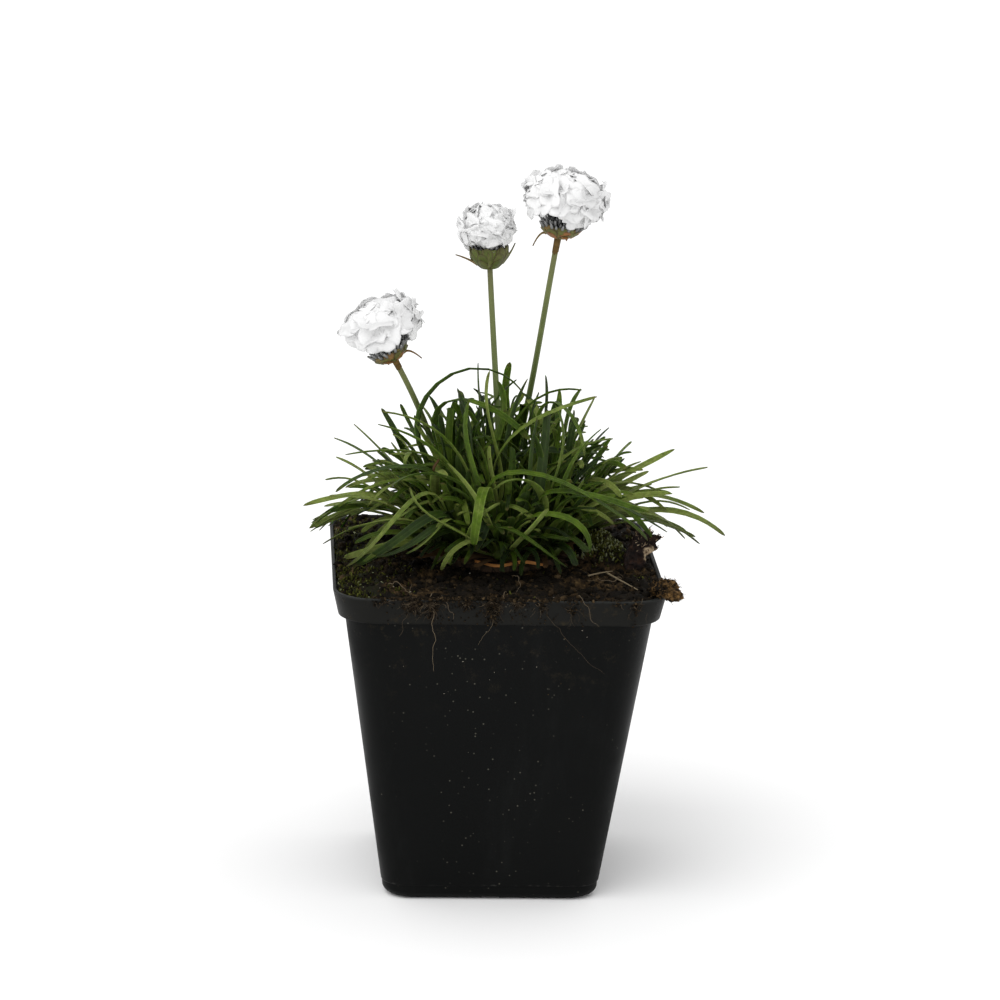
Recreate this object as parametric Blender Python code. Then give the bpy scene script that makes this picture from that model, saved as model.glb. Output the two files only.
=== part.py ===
"""Potted sea thrift: a square pot of peat with a tuft of narrow leaves and three white flower heads."""

import math
import random

import bmesh
import bpy
from mathutils import Matrix, Vector, noise
from mathutils.bvhtree import BVHTree

MM = 0.001
GAP = 0.35 * MM  # clearance between pieces that touch on the real plant

# The pot: a thin square moulding with round corners, a collar at the brim and a step above the foot.
POT_HEIGHT = 90 * MM
RIM_HALF = 45 * MM
COLLAR_HALF = 43.4 * MM
COLLAR_HEIGHT = 7.2 * MM
BODY_TOP_HALF = 41.6 * MM
BASE_HALF = 29.8 * MM
FOOT_HEIGHT = 4.4 * MM
FOOT_STEP = 0.35 * MM
FOOT_ROUND = 3.0 * MM
RIM_ROUND = 0.3 * MM
WALL = 1.0 * MM
FLOOR = 1.6 * MM
CORNER_SHARE = 0.24  # corner radius as a share of the half width
CORNER_STEPS = 4
DRAIN_RADIUS = 3.3 * MM
DRAIN_REACH = 17.5 * MM
DRAIN_SIDES = 12
VENT_WIDTH = 5 * MM
VENT_HEIGHT = 0.7 * MM
VENT_START = 17 * MM

# The soil: level with the brim at its edge, humped in the middle and at the mossy lump on the right.
SOIL_EDGE = POT_HEIGHT - 0.5 * MM
SOIL_HUMP = 2.6 * MM
SOIL_SIDES = 44
SOIL_RINGS = 7
GRAIN_HEIGHT = 1.1 * MM
GRAIN_SIZE = 7 * MM
LUMP_CENTRE = Vector((29.5 * MM, -4 * MM, 0))
LUMP_RADIUS = 7 * MM
LUMP_HEIGHT = 8 * MM

# The rootstock: a taproot under a low woody crown that carries the rosettes.
CROWN_CENTRE = Vector((2 * MM, 1 * MM, 0))
CROWN_RADIUS = 20.5 * MM
CROWN_TOP = 95 * MM
ROOT_PROFILE = ((1.2, 36), (3.6, 58), (6.5, 77), (18.5, 87.5), (20.5, 90.5), (19.2, 92.6),
                (14.0, 94.2), (6.0, 94.9))  # radius and height in mm
ROOT_SIDES = 20
PIT_LIP = 91.2 * MM

# The rosettes: one in the middle and eight in a ring round it.
RING_RADIUS = 15.5 * MM
RING_COUNT = 8
RING_LEAN = 24
RING_DROP = 1.5 * MM
PLUG_PROFILE = ((2.6, -3.2), (2.6, 0.8), (4.2, 2.4), (4.4, 3.6), (3.6, 5.2), (1.8, 6.2))
PLUG_SIDES = 8
PLUG_TOP = 6.2 * MM
LEAVES_EACH = 20
GOLDEN_TURN = math.radians(137.508)
TUFT_REACH = Vector((56 * MM, 52 * MM, 48 * MM))  # half width, half depth and height of the tuft's envelope
TUFT_FRONT = 36 * MM  # the envelope's half depth in front
TUFT_POWER = 1.3
SEED = 5

# Where leaves leave a rosette's plug.
FOOT_NEAREST = 0.5 * MM
FOOT_NEAREST_BY_STEM = 2.5 * MM
FOOT_FURTHEST = 3.5 * MM
FOOT_SINK = 1.6 * MM
FOOT_DROP = 1.5 * MM  # how much deeper the outermost leaf starts

# The leaves that follow the rosette's rule: a range each, or the innermost leaf's value and what is added.
LEAF_LENGTH = (36 * MM, 56 * MM)
LEAF_WIDTH = (2.0 * MM, 3.2 * MM)
LEAF_RISE = (0.04, 0.14)
LEAF_RISE_ADDED = 0.22
LEAF_SPREAD = 6
LEAF_SPREAD_ADDED = 82
LEAF_SPREAD_RANGE = 12
LEAF_TURN_RANGE = 0.6
LEAF_OUTWARD = 0.25
LEAF_LOWEST_AIM = 0.02

# The shape of a blade, and how it gives way to what is round it.
LEAF_STEPS = 20
LEAF_CREST = 0.45  # where the arch is pulled up, as a share of the chord
LEAF_START = 0.10  # how far a leaf first follows its rosette's axis, as a share of the chord
LEAF_BOW = 0.2  # sideways bow as a share of the level reach
LEAF_DEPTH = 0.8 * MM
TIP_DEPTH = 0.75  # least depth of a blade as a share of its full depth
LEAF_STATIONS = ((0.0, 0.82), (0.3, 1.0), (0.6, 0.97), (0.85, 0.78), (1.0, 0.32))
LEAF_CLEARANCE = 0.25 * MM
LEAF_TRIES = 90
TRY_SHIFT = 0.16 * MM
TRY_BEND = 0.004

# Leaves that set the outline: tip in mm, rise of the arch as a share of the length, width in mm.
OUTLINE_LEAVES = (
    ((-53, -8, 106), 0.34, 2.4),
    ((-46, -16, 111), 0.18, 2.2),
    ((-47, -2, 112), 0.22, 2.2),
    ((-44, 8, 116), 0.16, 2.2),
    ((-44.5, 14, 120), 0.16, 2.4),
    ((-39, 14, 124), 0.12, 2.6),
    ((-31.5, 12, 129), 0.10, 3.2),
    ((-26, 20, 128.5), 0.12, 2.4),
    ((-18, 20, 131), 0.10, 2.6),
    ((-41, -24, 104), 0.30, 2.0),
    ((-42, -27, 96.5), 0.14, 2.6),
    ((-39, -19, 98.5), 0.20, 2.6),
    ((-37, -33, 97), 0.18, 2.6),
    ((-6.5, -28, 99), 1.5, 3.2),
    ((-14, -32, 96.5), 0.22, 2.4),
    ((-10.5, -2, 137.5), 0.08, 3.2),
    ((-5.5, 2, 144.5), 0.06, 2.6),
    ((3.5, 8, 143.5), 0.10, 2.6),
    ((10.5, 2, 133), 0.34, 2.4),
    ((13.5, 10, 139.5), 0.08, 2.4),
    ((24, 16, 134.5), 0.14, 2.6),
    ((27.5, 12, 133), 0.12, 2.4),
    ((18.5, 22, 133), 0.08, 2.6),
    ((32, 14, 124), 0.10, 2.6),
    ((37.5, 4, 122.5), 0.12, 3.2),
    ((50.5, 12, 118.5), 0.16, 2.4),
    ((59, 4, 115.5), 0.16, 2.4),
    ((51, -1, 111), 0.16, 2.2),
    ((48.5, -5, 110), 0.18, 2.4),
    ((54, -1, 104.5), 0.26, 2.4),
    ((59, 7, 101.5), 0.34, 2.4),
    ((63.5, -6, 98.5), 0.26, 3.0),
    ((42, -18, 101), 0.80, 2.4),
    ((23.5, -31, 100), 0.36, 3.4),
    ((20, -36, 97.5), 0.20, 2.6),
)

# The flowers, with the foot in a rosette: lengths in mm, tilts and azimuths of the head in degrees.
# A stem's sway moves its lower handle to the right.
FLOWERS = (
    {"rosette": 5, "joint": (-28.6, -3, 146), "tilt": 30, "azimuth": 182, "sway": 0, "radius": 12.8,
     "bottom": 0.8, "top": 19.4, "florets": 23, "cup_radius": 4.8, "cup_height": 3.2},
    {"rosette": 1, "joint": (-2.9, 5, 170.3), "tilt": 4, "azimuth": 182, "sway": -1, "radius": 8.8,
     "bottom": 5.4, "top": 18.4, "florets": 16, "cup_radius": 5.2, "cup_height": 5.8},
    {"rosette": 4, "joint": (15.1, 0, 180), "tilt": 9, "azimuth": -5, "sway": 9, "radius": 12.8,
     "bottom": 0.8, "top": 20.0, "florets": 23, "cup_radius": 5.0, "cup_height": 3.4},
)
STEM_FOOT_RADIUS = 1.0 * MM
STEM_TOP_RADIUS = 0.85 * MM
STEM_SIDES = 7
STEM_STEPS = 9
STEM_SINK = 3.2 * MM
STEM_PULL = 0.34
CUP_SIDES = 10
CUP_WALL = 0.9 * MM
CUP_NECK = 0.62  # half width of the cup's bore under the head, as a share of the cup's
BRACT_COUNT = 7
BRACT_WIDTH = 2.2 * MM
BRACT_DEPTH = 0.7 * MM
BRACT_STEPS = 8
BRACT_STATIONS = ((0.0, 0.9), (0.6, 1.0), (1.0, 0.22))
BRACT_TIP = (1.16, 1.12)  # reach and height of a bract's tip, as shares of the cup's
LONG_BRACT_TIP = (1.9, 0.9)
HEAD_SIDES = 9
CORE_INSET = 2.6 * MM
CORE_LATITUDES = (-45, -15, 15, 45, 72)
FLORET_SIDES = 10
FLORET_RADIUS = 4.6 * MM
FLORET_SHARE = 0.38  # a floret's radius on a small head, as a share of the head's
FLORET_LENGTH = 5.5 * MM
FLORET_LOWEST = -0.78
FLORET_SINK = 0.9 * MM
FLORET_LEAN = 0.22
NOTCH = 0.76
NOTCH_DROP = 0.14
LOBE_LIFT = (-0.22, 0.12)
THROAT = 0.36

# What lies on the soil or stands in it: places and sizes in mm, turns in degrees.
FLAKE_PLACE = (38 * MM, -11 * MM)
FLAKE_TURN = 15
FLAKE_LEAN = 10
FLAKE_THICK = 1.8 * MM
FLAKE_OUTLINE = ((-3.2, -2.6), (2.4, -2.6), (3.0, 1.5), (3.6, 3.4), (6.2, 5.0), (5.8, 6.8), (7.0, 8.2),
                 (5.0, 9.0), (4.4, 10.6), (2.2, 9.2), (0.4, 8.6), (-0.8, 6.4), (-2.6, 5.0), (-3.4, 2.2))
SLOT_TOP = 12 * MM
SLOT_LEVEL = 2 * MM  # height up to which the slot is as wide as the flake
CLOD_PLACE = Vector((45 * MM, -38.5 * MM, 91.6 * MM))
CLOD_SIZE = (4.9, 4.4, 2.9)  # half width, half depth and half height in mm
CLOD_RELIEF = 0.5
CLOD_GRAIN = 3 * MM
DEAD_LEAF = ((-7.5, -19.8, 0), (2, -23, 0.8), (12.5, -19.5, 0))
DEAD_LEAF_WIDTH = 1.8 * MM
STRAW_LIMBS = (((24.5, -24), (31.5, -18.6)), ((29.9, -19.8), (37, -35)))
STRAW_RADIUS = 0.45 * MM
STRAW_TAPER = 0.08
STRAW_SIDES = 5
STRAW_STEPS = 4


def clear_scene():
    """Removes everything that the file opened with."""
    for thing in list(bpy.data.objects):
        bpy.data.objects.remove(thing, do_unlink=True)


def make_material(name, colour, roughness):
    """Returns a plain Principled material."""
    made = bpy.data.materials.new(name)
    made.use_nodes = True
    shader = made.node_tree.nodes["Principled BSDF"]
    shader.inputs["Base Color"].default_value = (*colour, 1.0)
    shader.inputs["Roughness"].default_value = roughness
    shader.inputs["Metallic"].default_value = 0.0
    made.diffuse_color = (*colour, 1.0)
    return made


def add_object(name, bm, material):
    """Turns a finished bmesh into a smooth-shaded object in the scene."""
    bmesh.ops.recalc_face_normals(bm, faces=bm.faces)
    mesh = bpy.data.meshes.new(name)
    bm.to_mesh(mesh)
    bm.free()
    mesh.materials.append(material)
    mesh.shade_smooth()
    mesh.set_sharp_from_angle(angle=math.radians(40))
    thing = bpy.data.objects.new(name, mesh)
    bpy.context.scene.collection.objects.link(thing)
    return thing


def sweep(bm, rings):
    """Extrudes a face through a list of rings of points and closes the end that it started from."""
    face = bm.faces.new([bm.verts.new(point) for point in rings[0]])
    for ring in rings[1:]:
        face = bmesh.ops.extrude_discrete_faces(bm, faces=[face])["faces"][0]
        for vert, point in zip(face.verts, ring):
            vert.co = point
    bmesh.ops.holes_fill(bm, edges=[edge for edge in bm.edges if edge.is_boundary], sides=0)


def circle(radius, height, sides, matrix=Matrix()):
    """Returns the points of a level circle, placed by a matrix."""
    turns = [2 * math.pi * step / sides for step in range(sides)]
    return [matrix @ Vector((radius * math.cos(turn), radius * math.sin(turn), height)) for turn in turns]


def tube_rings(path, radii, sides):
    """Returns the rings of a round tube along a path, each turned from the one before it without a twist."""
    last = len(path) - 1
    along = path[1] - path[0]
    turn = Vector((0, 0, 1)).rotation_difference(along)
    rings = []
    for index, radius in enumerate(radii):
        ahead = path[min(index + 1, last)] - path[max(index - 1, 0)]
        turn = along.rotation_difference(ahead) @ turn
        along = ahead
        rings.append(circle(radius, 0, sides, Matrix.Translation(path[index]) @ turn.to_matrix().to_4x4()))
    return rings


def keep_outer_shell(bm):
    """Fills hollows and drops scraps, by keeping only what is joined to the highest point."""
    start = max(bm.verts, key=lambda vert: vert.co.z)
    kept = {start}
    edge_of_search = [start]
    while edge_of_search:
        vert = edge_of_search.pop()
        for edge in vert.link_edges:
            other = edge.other_vert(vert)
            if other not in kept:
                kept.add(other)
                edge_of_search.append(other)
    bmesh.ops.delete(bm, geom=[vert for vert in bm.verts if vert not in kept], context="VERTS")


def fuse(thing, pieces):
    """Joins a list of bmeshes to an object with one Boolean union, and removes them."""
    group = bpy.data.collections.new(thing.name + "_pieces")
    bpy.context.scene.collection.children.link(group)
    for index, piece in enumerate(pieces):
        bmesh.ops.recalc_face_normals(piece, faces=piece.faces)
        mesh = bpy.data.meshes.new(f"{thing.name}_piece_{index}")
        piece.to_mesh(mesh)
        piece.free()
        group.objects.link(bpy.data.objects.new(mesh.name, mesh))
    union = thing.modifiers.new("union", "BOOLEAN")
    union.operation = "UNION"
    union.operand_type = "COLLECTION"
    union.collection = group
    union.solver = "MANIFOLD"
    apply_modifiers(thing)
    for piece in list(group.objects):
        bpy.data.objects.remove(piece, do_unlink=True)
    bpy.data.collections.remove(group)


def cut(thing, cutter):
    """Cuts a bmesh out of an object, and removes it."""
    bmesh.ops.recalc_face_normals(cutter, faces=cutter.faces)
    mesh = bpy.data.meshes.new(thing.name + "_cutter")
    cutter.to_mesh(mesh)
    cutter.free()
    tool = bpy.data.objects.new(mesh.name, mesh)
    bpy.context.scene.collection.objects.link(tool)
    difference = thing.modifiers.new("cut", "BOOLEAN")
    difference.operation = "DIFFERENCE"
    difference.object = tool
    apply_modifiers(thing)
    bpy.data.objects.remove(tool, do_unlink=True)


def apply_modifiers(thing):
    """Replaces an object's mesh by what its modifiers make of it, kept to its outer shell."""
    view = bpy.context.evaluated_depsgraph_get()
    made = bpy.data.meshes.new_from_object(thing.evaluated_get(view))
    thing.modifiers.clear()
    bm = bmesh.new()
    bm.from_mesh(made)
    keep_outer_shell(bm)
    bm.to_mesh(made)
    bm.free()
    old = thing.data
    thing.data = made
    bpy.data.meshes.remove(old)


def tree_of(thing):
    """Returns a search tree over an object's faces."""
    points = [thing.matrix_world @ vert.co for vert in thing.data.vertices]
    return BVHTree.FromPolygons(points, [tuple(face.vertices) for face in thing.data.polygons])


def tree_of_rings(rings):
    """Returns a search tree over the surface that a sweep through these rings would have."""
    sides = len(rings[0])
    points = [point for ring in rings for point in ring]
    faces = [tuple(range(sides)), tuple(range(len(points) - sides, len(points)))]
    for row in range(len(rings) - 1):
        for side in range(sides):
            near = row * sides + side
            far = row * sides + (side + 1) % sides
            faces.append((near, far, far + sides, near + sides))
    return BVHTree.FromPolygons(points, faces)


# The pot


def square_ring(half, height):
    """Returns the points of a square with round corners."""
    corner = CORNER_SHARE * half
    inner = half - corner
    points = []
    for quarter in range(4):
        middle = Matrix.Rotation(quarter * math.pi / 2, 3, "Z") @ Vector((inner, inner, 0))
        for step in range(CORNER_STEPS + 1):
            turn = (quarter + step / CORNER_STEPS) * math.pi / 2
            points.append(middle + Vector((corner * math.cos(turn), corner * math.sin(turn), height)))
    return points


def pot_outside():
    """Returns the half widths and heights of the pot's outer face, from the foot up to the rim."""
    foot = []
    for turn in (0, 30, 60, 90):
        across, up = math.sin(math.radians(turn)), math.cos(math.radians(turn))
        foot.append((BASE_HALF - FOOT_ROUND * (1 - across), FOOT_ROUND * (1 - up)))
    return foot + [
        (BASE_HALF, FOOT_HEIGHT - FOOT_STEP),
        (BASE_HALF + FOOT_STEP, FOOT_HEIGHT),
        (BODY_TOP_HALF, POT_HEIGHT - COLLAR_HEIGHT - FOOT_STEP),
        (COLLAR_HALF, POT_HEIGHT - COLLAR_HEIGHT),
        (RIM_HALF, POT_HEIGHT - RIM_ROUND),
        (RIM_HALF - RIM_ROUND, POT_HEIGHT),
    ]


def pot_inside():
    """Returns the half widths and heights of the pot's inner face, from the floor up to the rim."""
    return [
        (BASE_HALF - FOOT_ROUND, FLOOR),
        (BASE_HALF - WALL, FLOOR + FOOT_ROUND - WALL),
        (BODY_TOP_HALF - WALL, POT_HEIGHT - COLLAR_HEIGHT + WALL - FOOT_STEP),
        (COLLAR_HALF - WALL, POT_HEIGHT - COLLAR_HEIGHT + WALL),
        (RIM_HALF - WALL, POT_HEIGHT),
    ]


def make_pot():
    """A thin-walled square pot with drain holes in its floor and vents under its foot."""
    bm = bmesh.new()
    profile = pot_outside() + pot_inside()[::-1]
    sweep(bm, [square_ring(half, height) for half, height in profile])
    pot = add_object("pot", bm, make_material("black_plastic", (0.008, 0.008, 0.009), 0.42))
    cut(pot, drain_cutter())
    cut(pot, vent_cutter())
    return pot


def drain_cutter():
    """Eight rods that cut the drain holes, at the corners and the middles of the sides."""
    bm = bmesh.new()
    for step in range(8):
        turn = step * math.pi / 4
        reach = DRAIN_REACH * (math.sqrt(2) if step % 2 else 1.0)
        place = Matrix.Translation((reach * math.cos(turn), reach * math.sin(turn), FLOOR / 2))
        bmesh.ops.create_cone(bm, cap_ends=True, segments=DRAIN_SIDES, radius1=DRAIN_RADIUS,
                              radius2=DRAIN_RADIUS, depth=2 * FLOOR, matrix=place)
    return bm


def vent_cutter():
    """Four bars that cut the shallow vents from the side drain holes out through the foot."""
    bm = bmesh.new()
    length = BASE_HALF + WALL - VENT_START
    for step in range(4):
        turn = Matrix.Rotation(step * math.pi / 2, 4, "Z")
        place = Matrix.Translation((VENT_START + length / 2, 0, 0))
        size = Matrix.Diagonal((length, VENT_WIDTH, 2 * VENT_HEIGHT, 1.0))
        bmesh.ops.create_cube(bm, size=1.0, matrix=turn @ place @ size)
    return bm


# The soil


def soil_height(x, y):
    """Returns the height of the soil's relief at a place in the pot."""
    edge = min(max(abs(x), abs(y)) / RIM_HALF, 1.0)
    hump = SOIL_HUMP * (1 - edge * edge * (3 - 2 * edge))
    apart = (Vector((x, y, 0)) - LUMP_CENTRE).length / LUMP_RADIUS
    lump = LUMP_HEIGHT * math.exp(-apart * apart)
    grains = GRAIN_HEIGHT * noise.fractal(Vector((x, y, 0)) / GRAIN_SIZE, 0.7, 2.2, 3) * (1 - edge ** 8)
    return SOIL_EDGE + hump + lump + grains


def square_reach(half, corner, turn):
    """Returns how far a ray from the middle of a round-cornered square runs to its outline."""
    across, along = sorted((abs(math.cos(turn)), abs(math.sin(turn))))
    if half * across / along <= half - corner:
        return half / along
    inner = half - corner
    nearest = inner * (across + along)
    return nearest + math.sqrt(max(nearest * nearest - (2 * inner * inner - corner * corner), 0.0))


def soil_ring(half, height, roundness=CORNER_SHARE, middle=Vector()):
    """Returns a ring of points at even turns, at a height or on the soil's surface where that is None."""
    points = []
    for step in range(SOIL_SIDES):
        turn = 2 * math.pi * (step + 0.5) / SOIL_SIDES
        reach = square_reach(half, roundness * half, turn)
        place = middle + Vector((reach * math.cos(turn), reach * math.sin(turn), 0))
        place.z = soil_height(place.x, place.y) if height is None else height
        points.append(place)
    return points


def root_profile():
    """Returns the rootstock's radii and heights in metres, from the tip up."""
    return [(radius * MM, height * MM) for radius, height in ROOT_PROFILE]


def make_soil():
    """The root ball of peat, with a plain pit that the rootstock stands in."""
    walls = [(half - GAP, height + GAP) for half, height in pot_inside()[:-1]]
    rings = [soil_ring(half, height) for half, height in walls]
    brim = RIM_HALF - WALL - GAP
    pit = CROWN_RADIUS + 3 * GAP
    for step in range(SOIL_RINGS):
        share = step / (SOIL_RINGS - 1)
        half = brim + (pit - brim) * share
        roundness = CORNER_SHARE + (1 - CORNER_SHARE) * share
        rings.append(soil_ring(half, None, roundness, CROWN_CENTRE * share))
    below = [(radius, height) for radius, height in root_profile() if height < PIT_LIP]
    for radius, height in reversed(below):
        rings.append(soil_ring(radius + 1.3 * GAP, height - GAP, 1.0, CROWN_CENTRE))
    bm = bmesh.new()
    sweep(bm, rings)
    return add_object("soil", bm, make_material("peat", (0.012, 0.009, 0.006), 0.95))


# The plant


def make_rootstock():
    """The woody crown and taproot, with a socket for each rosette."""
    bm = bmesh.new()
    place = Matrix.Translation(CROWN_CENTRE)
    sweep(bm, [circle(radius, height, ROOT_SIDES, place) for radius, height in root_profile()])
    rootstock = add_object("rootstock", bm, make_material("rootstock_bark", (0.045, 0.028, 0.016), 0.9))
    sockets = bmesh.new()
    radius = PLUG_PROFILE[0][0] * MM + GAP
    foot = -PLUG_PROFILE[0][1] * MM + GAP
    for matrix in rosette_places():
        bmesh.ops.create_cone(sockets, cap_ends=True, segments=PLUG_SIDES, radius1=radius, radius2=radius,
                              depth=2 * foot, matrix=matrix)
    cut(rootstock, sockets)
    return rootstock


def rosette_places():
    """Returns a matrix for each rosette, with +Z along its axis and its origin on the crown's surface."""
    places = [Matrix.Translation(CROWN_CENTRE + Vector((0, 0, CROWN_TOP)))]
    for step in range(RING_COUNT):
        turn = 2 * math.pi * step / RING_COUNT
        outward = Matrix.Rotation(turn, 4, "Z")
        shift = Matrix.Translation((RING_RADIUS, 0, CROWN_TOP - RING_DROP))
        lean = Matrix.Rotation(math.radians(RING_LEAN), 4, "Y")
        places.append(Matrix.Translation(CROWN_CENTRE) @ outward @ shift @ lean)
    return places


def flower_frame(flower):
    """Returns a flower head's matrix, with +Z along its axis and its origin where the stem joins it."""
    turn = Matrix.Rotation(math.radians(flower["azimuth"]), 4, "Z")
    lean = Matrix.Rotation(math.radians(flower["tilt"]), 4, "Y")
    return Matrix.Translation(Vector(flower["joint"]) * MM) @ turn @ lean


def bezier(points, share):
    """Returns the point at a share of the way along a Bezier curve."""
    while len(points) > 1:
        points = [first.lerp(second, share) for first, second in zip(points, points[1:])]
    return points[0]


def stem_rings(flower, foot_frame, room=0.0):
    """Returns the rings of a stem that leaves its rosette along the axis and meets its head along its own."""
    head = flower_frame(flower)
    foot = foot_frame @ Vector((0, 0, PLUG_TOP - STEM_SINK))
    joint = head @ Vector((0, 0, flower["cup_height"] * MM * 0.4))
    pull = (joint - foot).length * STEM_PULL
    upward = foot_frame.to_3x3() @ Vector((0, 0, pull)) + Vector((flower["sway"] * MM, 0, 0))
    control = [foot, foot + upward, joint - head.to_3x3() @ Vector((0, 0, pull)), joint]
    path = [bezier(control, step / STEM_STEPS) for step in range(STEM_STEPS + 1)]
    path[0] -= upward.normalized() * room
    taper = (STEM_TOP_RADIUS - STEM_FOOT_RADIUS) / STEM_STEPS
    radii = [STEM_FOOT_RADIUS + taper * step + room for step in range(STEM_STEPS + 1)]
    return tube_rings(path, radii, STEM_SIDES)


def blade_rings(path, width, room=0.0):
    """Returns the rings of a three-sided blade with a flat upper face and a keel, with some room round it."""
    last = len(path) - 1
    flat = path[last] - path[0]
    side = Vector((flat.y, -flat.x, 0))
    side = side.normalized() if side.length > MM else Vector((1, 0, 0))
    rings = []
    for share, breadth in LEAF_STATIONS:
        index = round(share * last)
        along = path[min(index + 1, last)] - path[max(index - 1, 0)]
        up = side.cross(along).normalized()
        middle = path[index] + up * room
        if index == last:
            middle += along.normalized() * room
        half = side * (width * breadth / 2 + 2 * room)
        keel = LEAF_DEPTH * max(breadth, TIP_DEPTH) + 2.5 * room
        rings.append([middle - half, middle + half, middle - up * keel])
    return rings


def leaf_path(root, tip, rise, bow, aim):
    """Returns the points of a leaf that leaves its root between aim and chord, arches up and bows aside."""
    chord = tip - root
    aside = Vector((chord.y, -chord.x, 0)) * bow
    lift = Vector((0, 0, chord.length * rise)) + aim * (chord.length * LEAF_START)
    crest = root + chord * LEAF_CREST + aside + lift
    return [bezier([root, crest, tip], step / LEAF_STEPS) for step in range(LEAF_STEPS + 1)]


def leaf_root(index, count, frame, flowering):
    """Returns where a leaf leaves its rosette's plug, sunk a little into it."""
    nearest = FOOT_NEAREST_BY_STEM if flowering else FOOT_NEAREST
    reach = nearest + (FOOT_FURTHEST - nearest) * math.sqrt((index + 0.5) / count)
    turn = index * GOLDEN_TURN
    height = PLUG_TOP - FOOT_SINK - FOOT_DROP * (reach / FOOT_FURTHEST) ** 2
    return frame @ Vector((reach * math.cos(turn), reach * math.sin(turn), height))


def outside_tuft(point):
    """Tells whether a point lies outside the tuft's envelope, a low dome with sloping shoulders."""
    apart = point - CROWN_CENTRE - Vector((0, 0, CROWN_TOP))
    depth = TUFT_REACH.y if apart.y > 0 else TUFT_FRONT
    reaches = (TUFT_REACH.x, depth, TUFT_REACH.z)
    return sum(abs(size / reach) ** TUFT_POWER for size, reach in zip(apart, reaches)) > 1


def rule_tip(index, count, frame, root, rng):
    """Returns a leaf's tip, rise and width by the rosette's rule: inner leaves upright, outer ones spread."""
    share = (index + 0.5) / count
    stray = rng.uniform(-LEAF_SPREAD_RANGE, LEAF_SPREAD_RANGE)
    spread = math.radians(LEAF_SPREAD + LEAF_SPREAD_ADDED * share + stray)
    turn = index * GOLDEN_TURN + rng.uniform(-LEAF_TURN_RANGE, LEAF_TURN_RANGE)
    length = rng.uniform(*LEAF_LENGTH)
    aim = Vector((math.sin(spread) * math.cos(turn), math.sin(spread) * math.sin(turn), math.cos(spread)))
    aim = frame.to_3x3() @ aim
    outward = root - CROWN_CENTRE
    aim += Vector((outward.x, outward.y, 0)) * (LEAF_OUTWARD / RING_RADIUS)
    aim.z = max(aim.z, LEAF_LOWEST_AIM)
    tip = root + aim.normalized() * length
    while outside_tuft(tip):
        tip = root.lerp(tip, 0.95)
    return tip, rng.uniform(*LEAF_RISE) + LEAF_RISE_ADDED * share, rng.uniform(*LEAF_WIDTH)


def clear_of(rings, trees):
    """Tells whether a swept surface crosses none of the trees."""
    mine = tree_of_rings(rings)
    return not any(mine.overlap(tree) for tree in trees)


def fitted_leaf(root, tip, rise, width, frame, trees, rng):
    """Returns a leaf's rings, with its tip shifted as little as it takes to clear what is round it."""
    aim = frame.to_3x3() @ Vector((0, 0, 1))
    bow = rng.uniform(-LEAF_BOW, LEAF_BOW)
    for attempt in range(LEAF_TRIES):
        reach = attempt * TRY_SHIFT
        shift = Vector((rng.uniform(-1, 1), rng.uniform(-1, 1), rng.uniform(-0.7, 1))) * reach
        bend = rise + rng.uniform(-TRY_BEND, TRY_BEND) * attempt
        path = leaf_path(root, tip + shift, max(bend, 0.0), bow, aim)
        if clear_of(blade_rings(path, width, LEAF_CLEARANCE), trees):
            return blade_rings(path, width)
    return None


def nearest_rosette(tip):
    """Returns which rosette a leaf with this tip grows from: the middle one, or the one on the tip's side."""
    level = Vector((tip.x, tip.y, 0)) - CROWN_CENTRE
    if level.length < RING_RADIUS * 0.9:
        return 0
    turn = math.atan2(level.y, level.x) / (2 * math.pi) * RING_COUNT
    return 1 + round(turn) % RING_COUNT


def facing_spot(frame, tip):
    """Returns the place in a rosette's spiral of leaves, towards its edge, that faces a tip."""
    local = frame.inverted() @ tip
    turn = math.atan2(local.y, local.x)
    outer = range(LEAVES_EACH // 3, LEAVES_EACH)
    return min(outer, key=lambda spot: abs(math.remainder(spot * GOLDEN_TURN - turn, 2 * math.pi)))


def grow_rosettes(obstacles):
    """Returns for each rosette the rings of its leaves, none of which crosses another rosette's leaves."""
    frames = rosette_places()
    flowering = {flower["rosette"] for flower in FLOWERS}
    grown = [[] for frame in frames]
    trees = [[tree_of_rings(plug_rings(frame))] for frame in frames]
    own = [0] * len(frames)

    def grow(rosette, spot, tip, rise, width):
        rng = random.Random(SEED + 1000 * rosette + len(grown[rosette]))
        root = leaf_root(spot, LEAVES_EACH, frames[rosette], rosette + 1 in flowering)
        if tip is None:
            tip, rise, width = rule_tip(spot, LEAVES_EACH, frames[rosette], root, rng)
        others = [tree for number, group in enumerate(trees) if number != rosette for tree in group]
        rings = fitted_leaf(root, tip, rise, width, frames[rosette], obstacles + others, rng)
        if rings:
            grown[rosette].append(rings)
            trees[rosette].append(tree_of_rings(rings))

    for place, rise, width in OUTLINE_LEAVES:
        tip = Vector(place) * MM
        rosette = nearest_rosette(tip)
        grow(rosette, facing_spot(frames[rosette], tip), tip, rise, width * MM)
        own[rosette] += 1
    for index in range(LEAVES_EACH):
        for rosette in range(len(frames)):
            left = LEAVES_EACH - own[rosette]
            if index < left:
                grow(rosette, index * LEAVES_EACH / left, None, 0, 0)
    return grown


def plug_rings(frame):
    """Returns the rings of the plug of leaf sheaths that a rosette's leaves grow from."""
    return [circle(radius * MM, height * MM, PLUG_SIDES, frame) for radius, height in PLUG_PROFILE]


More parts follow.
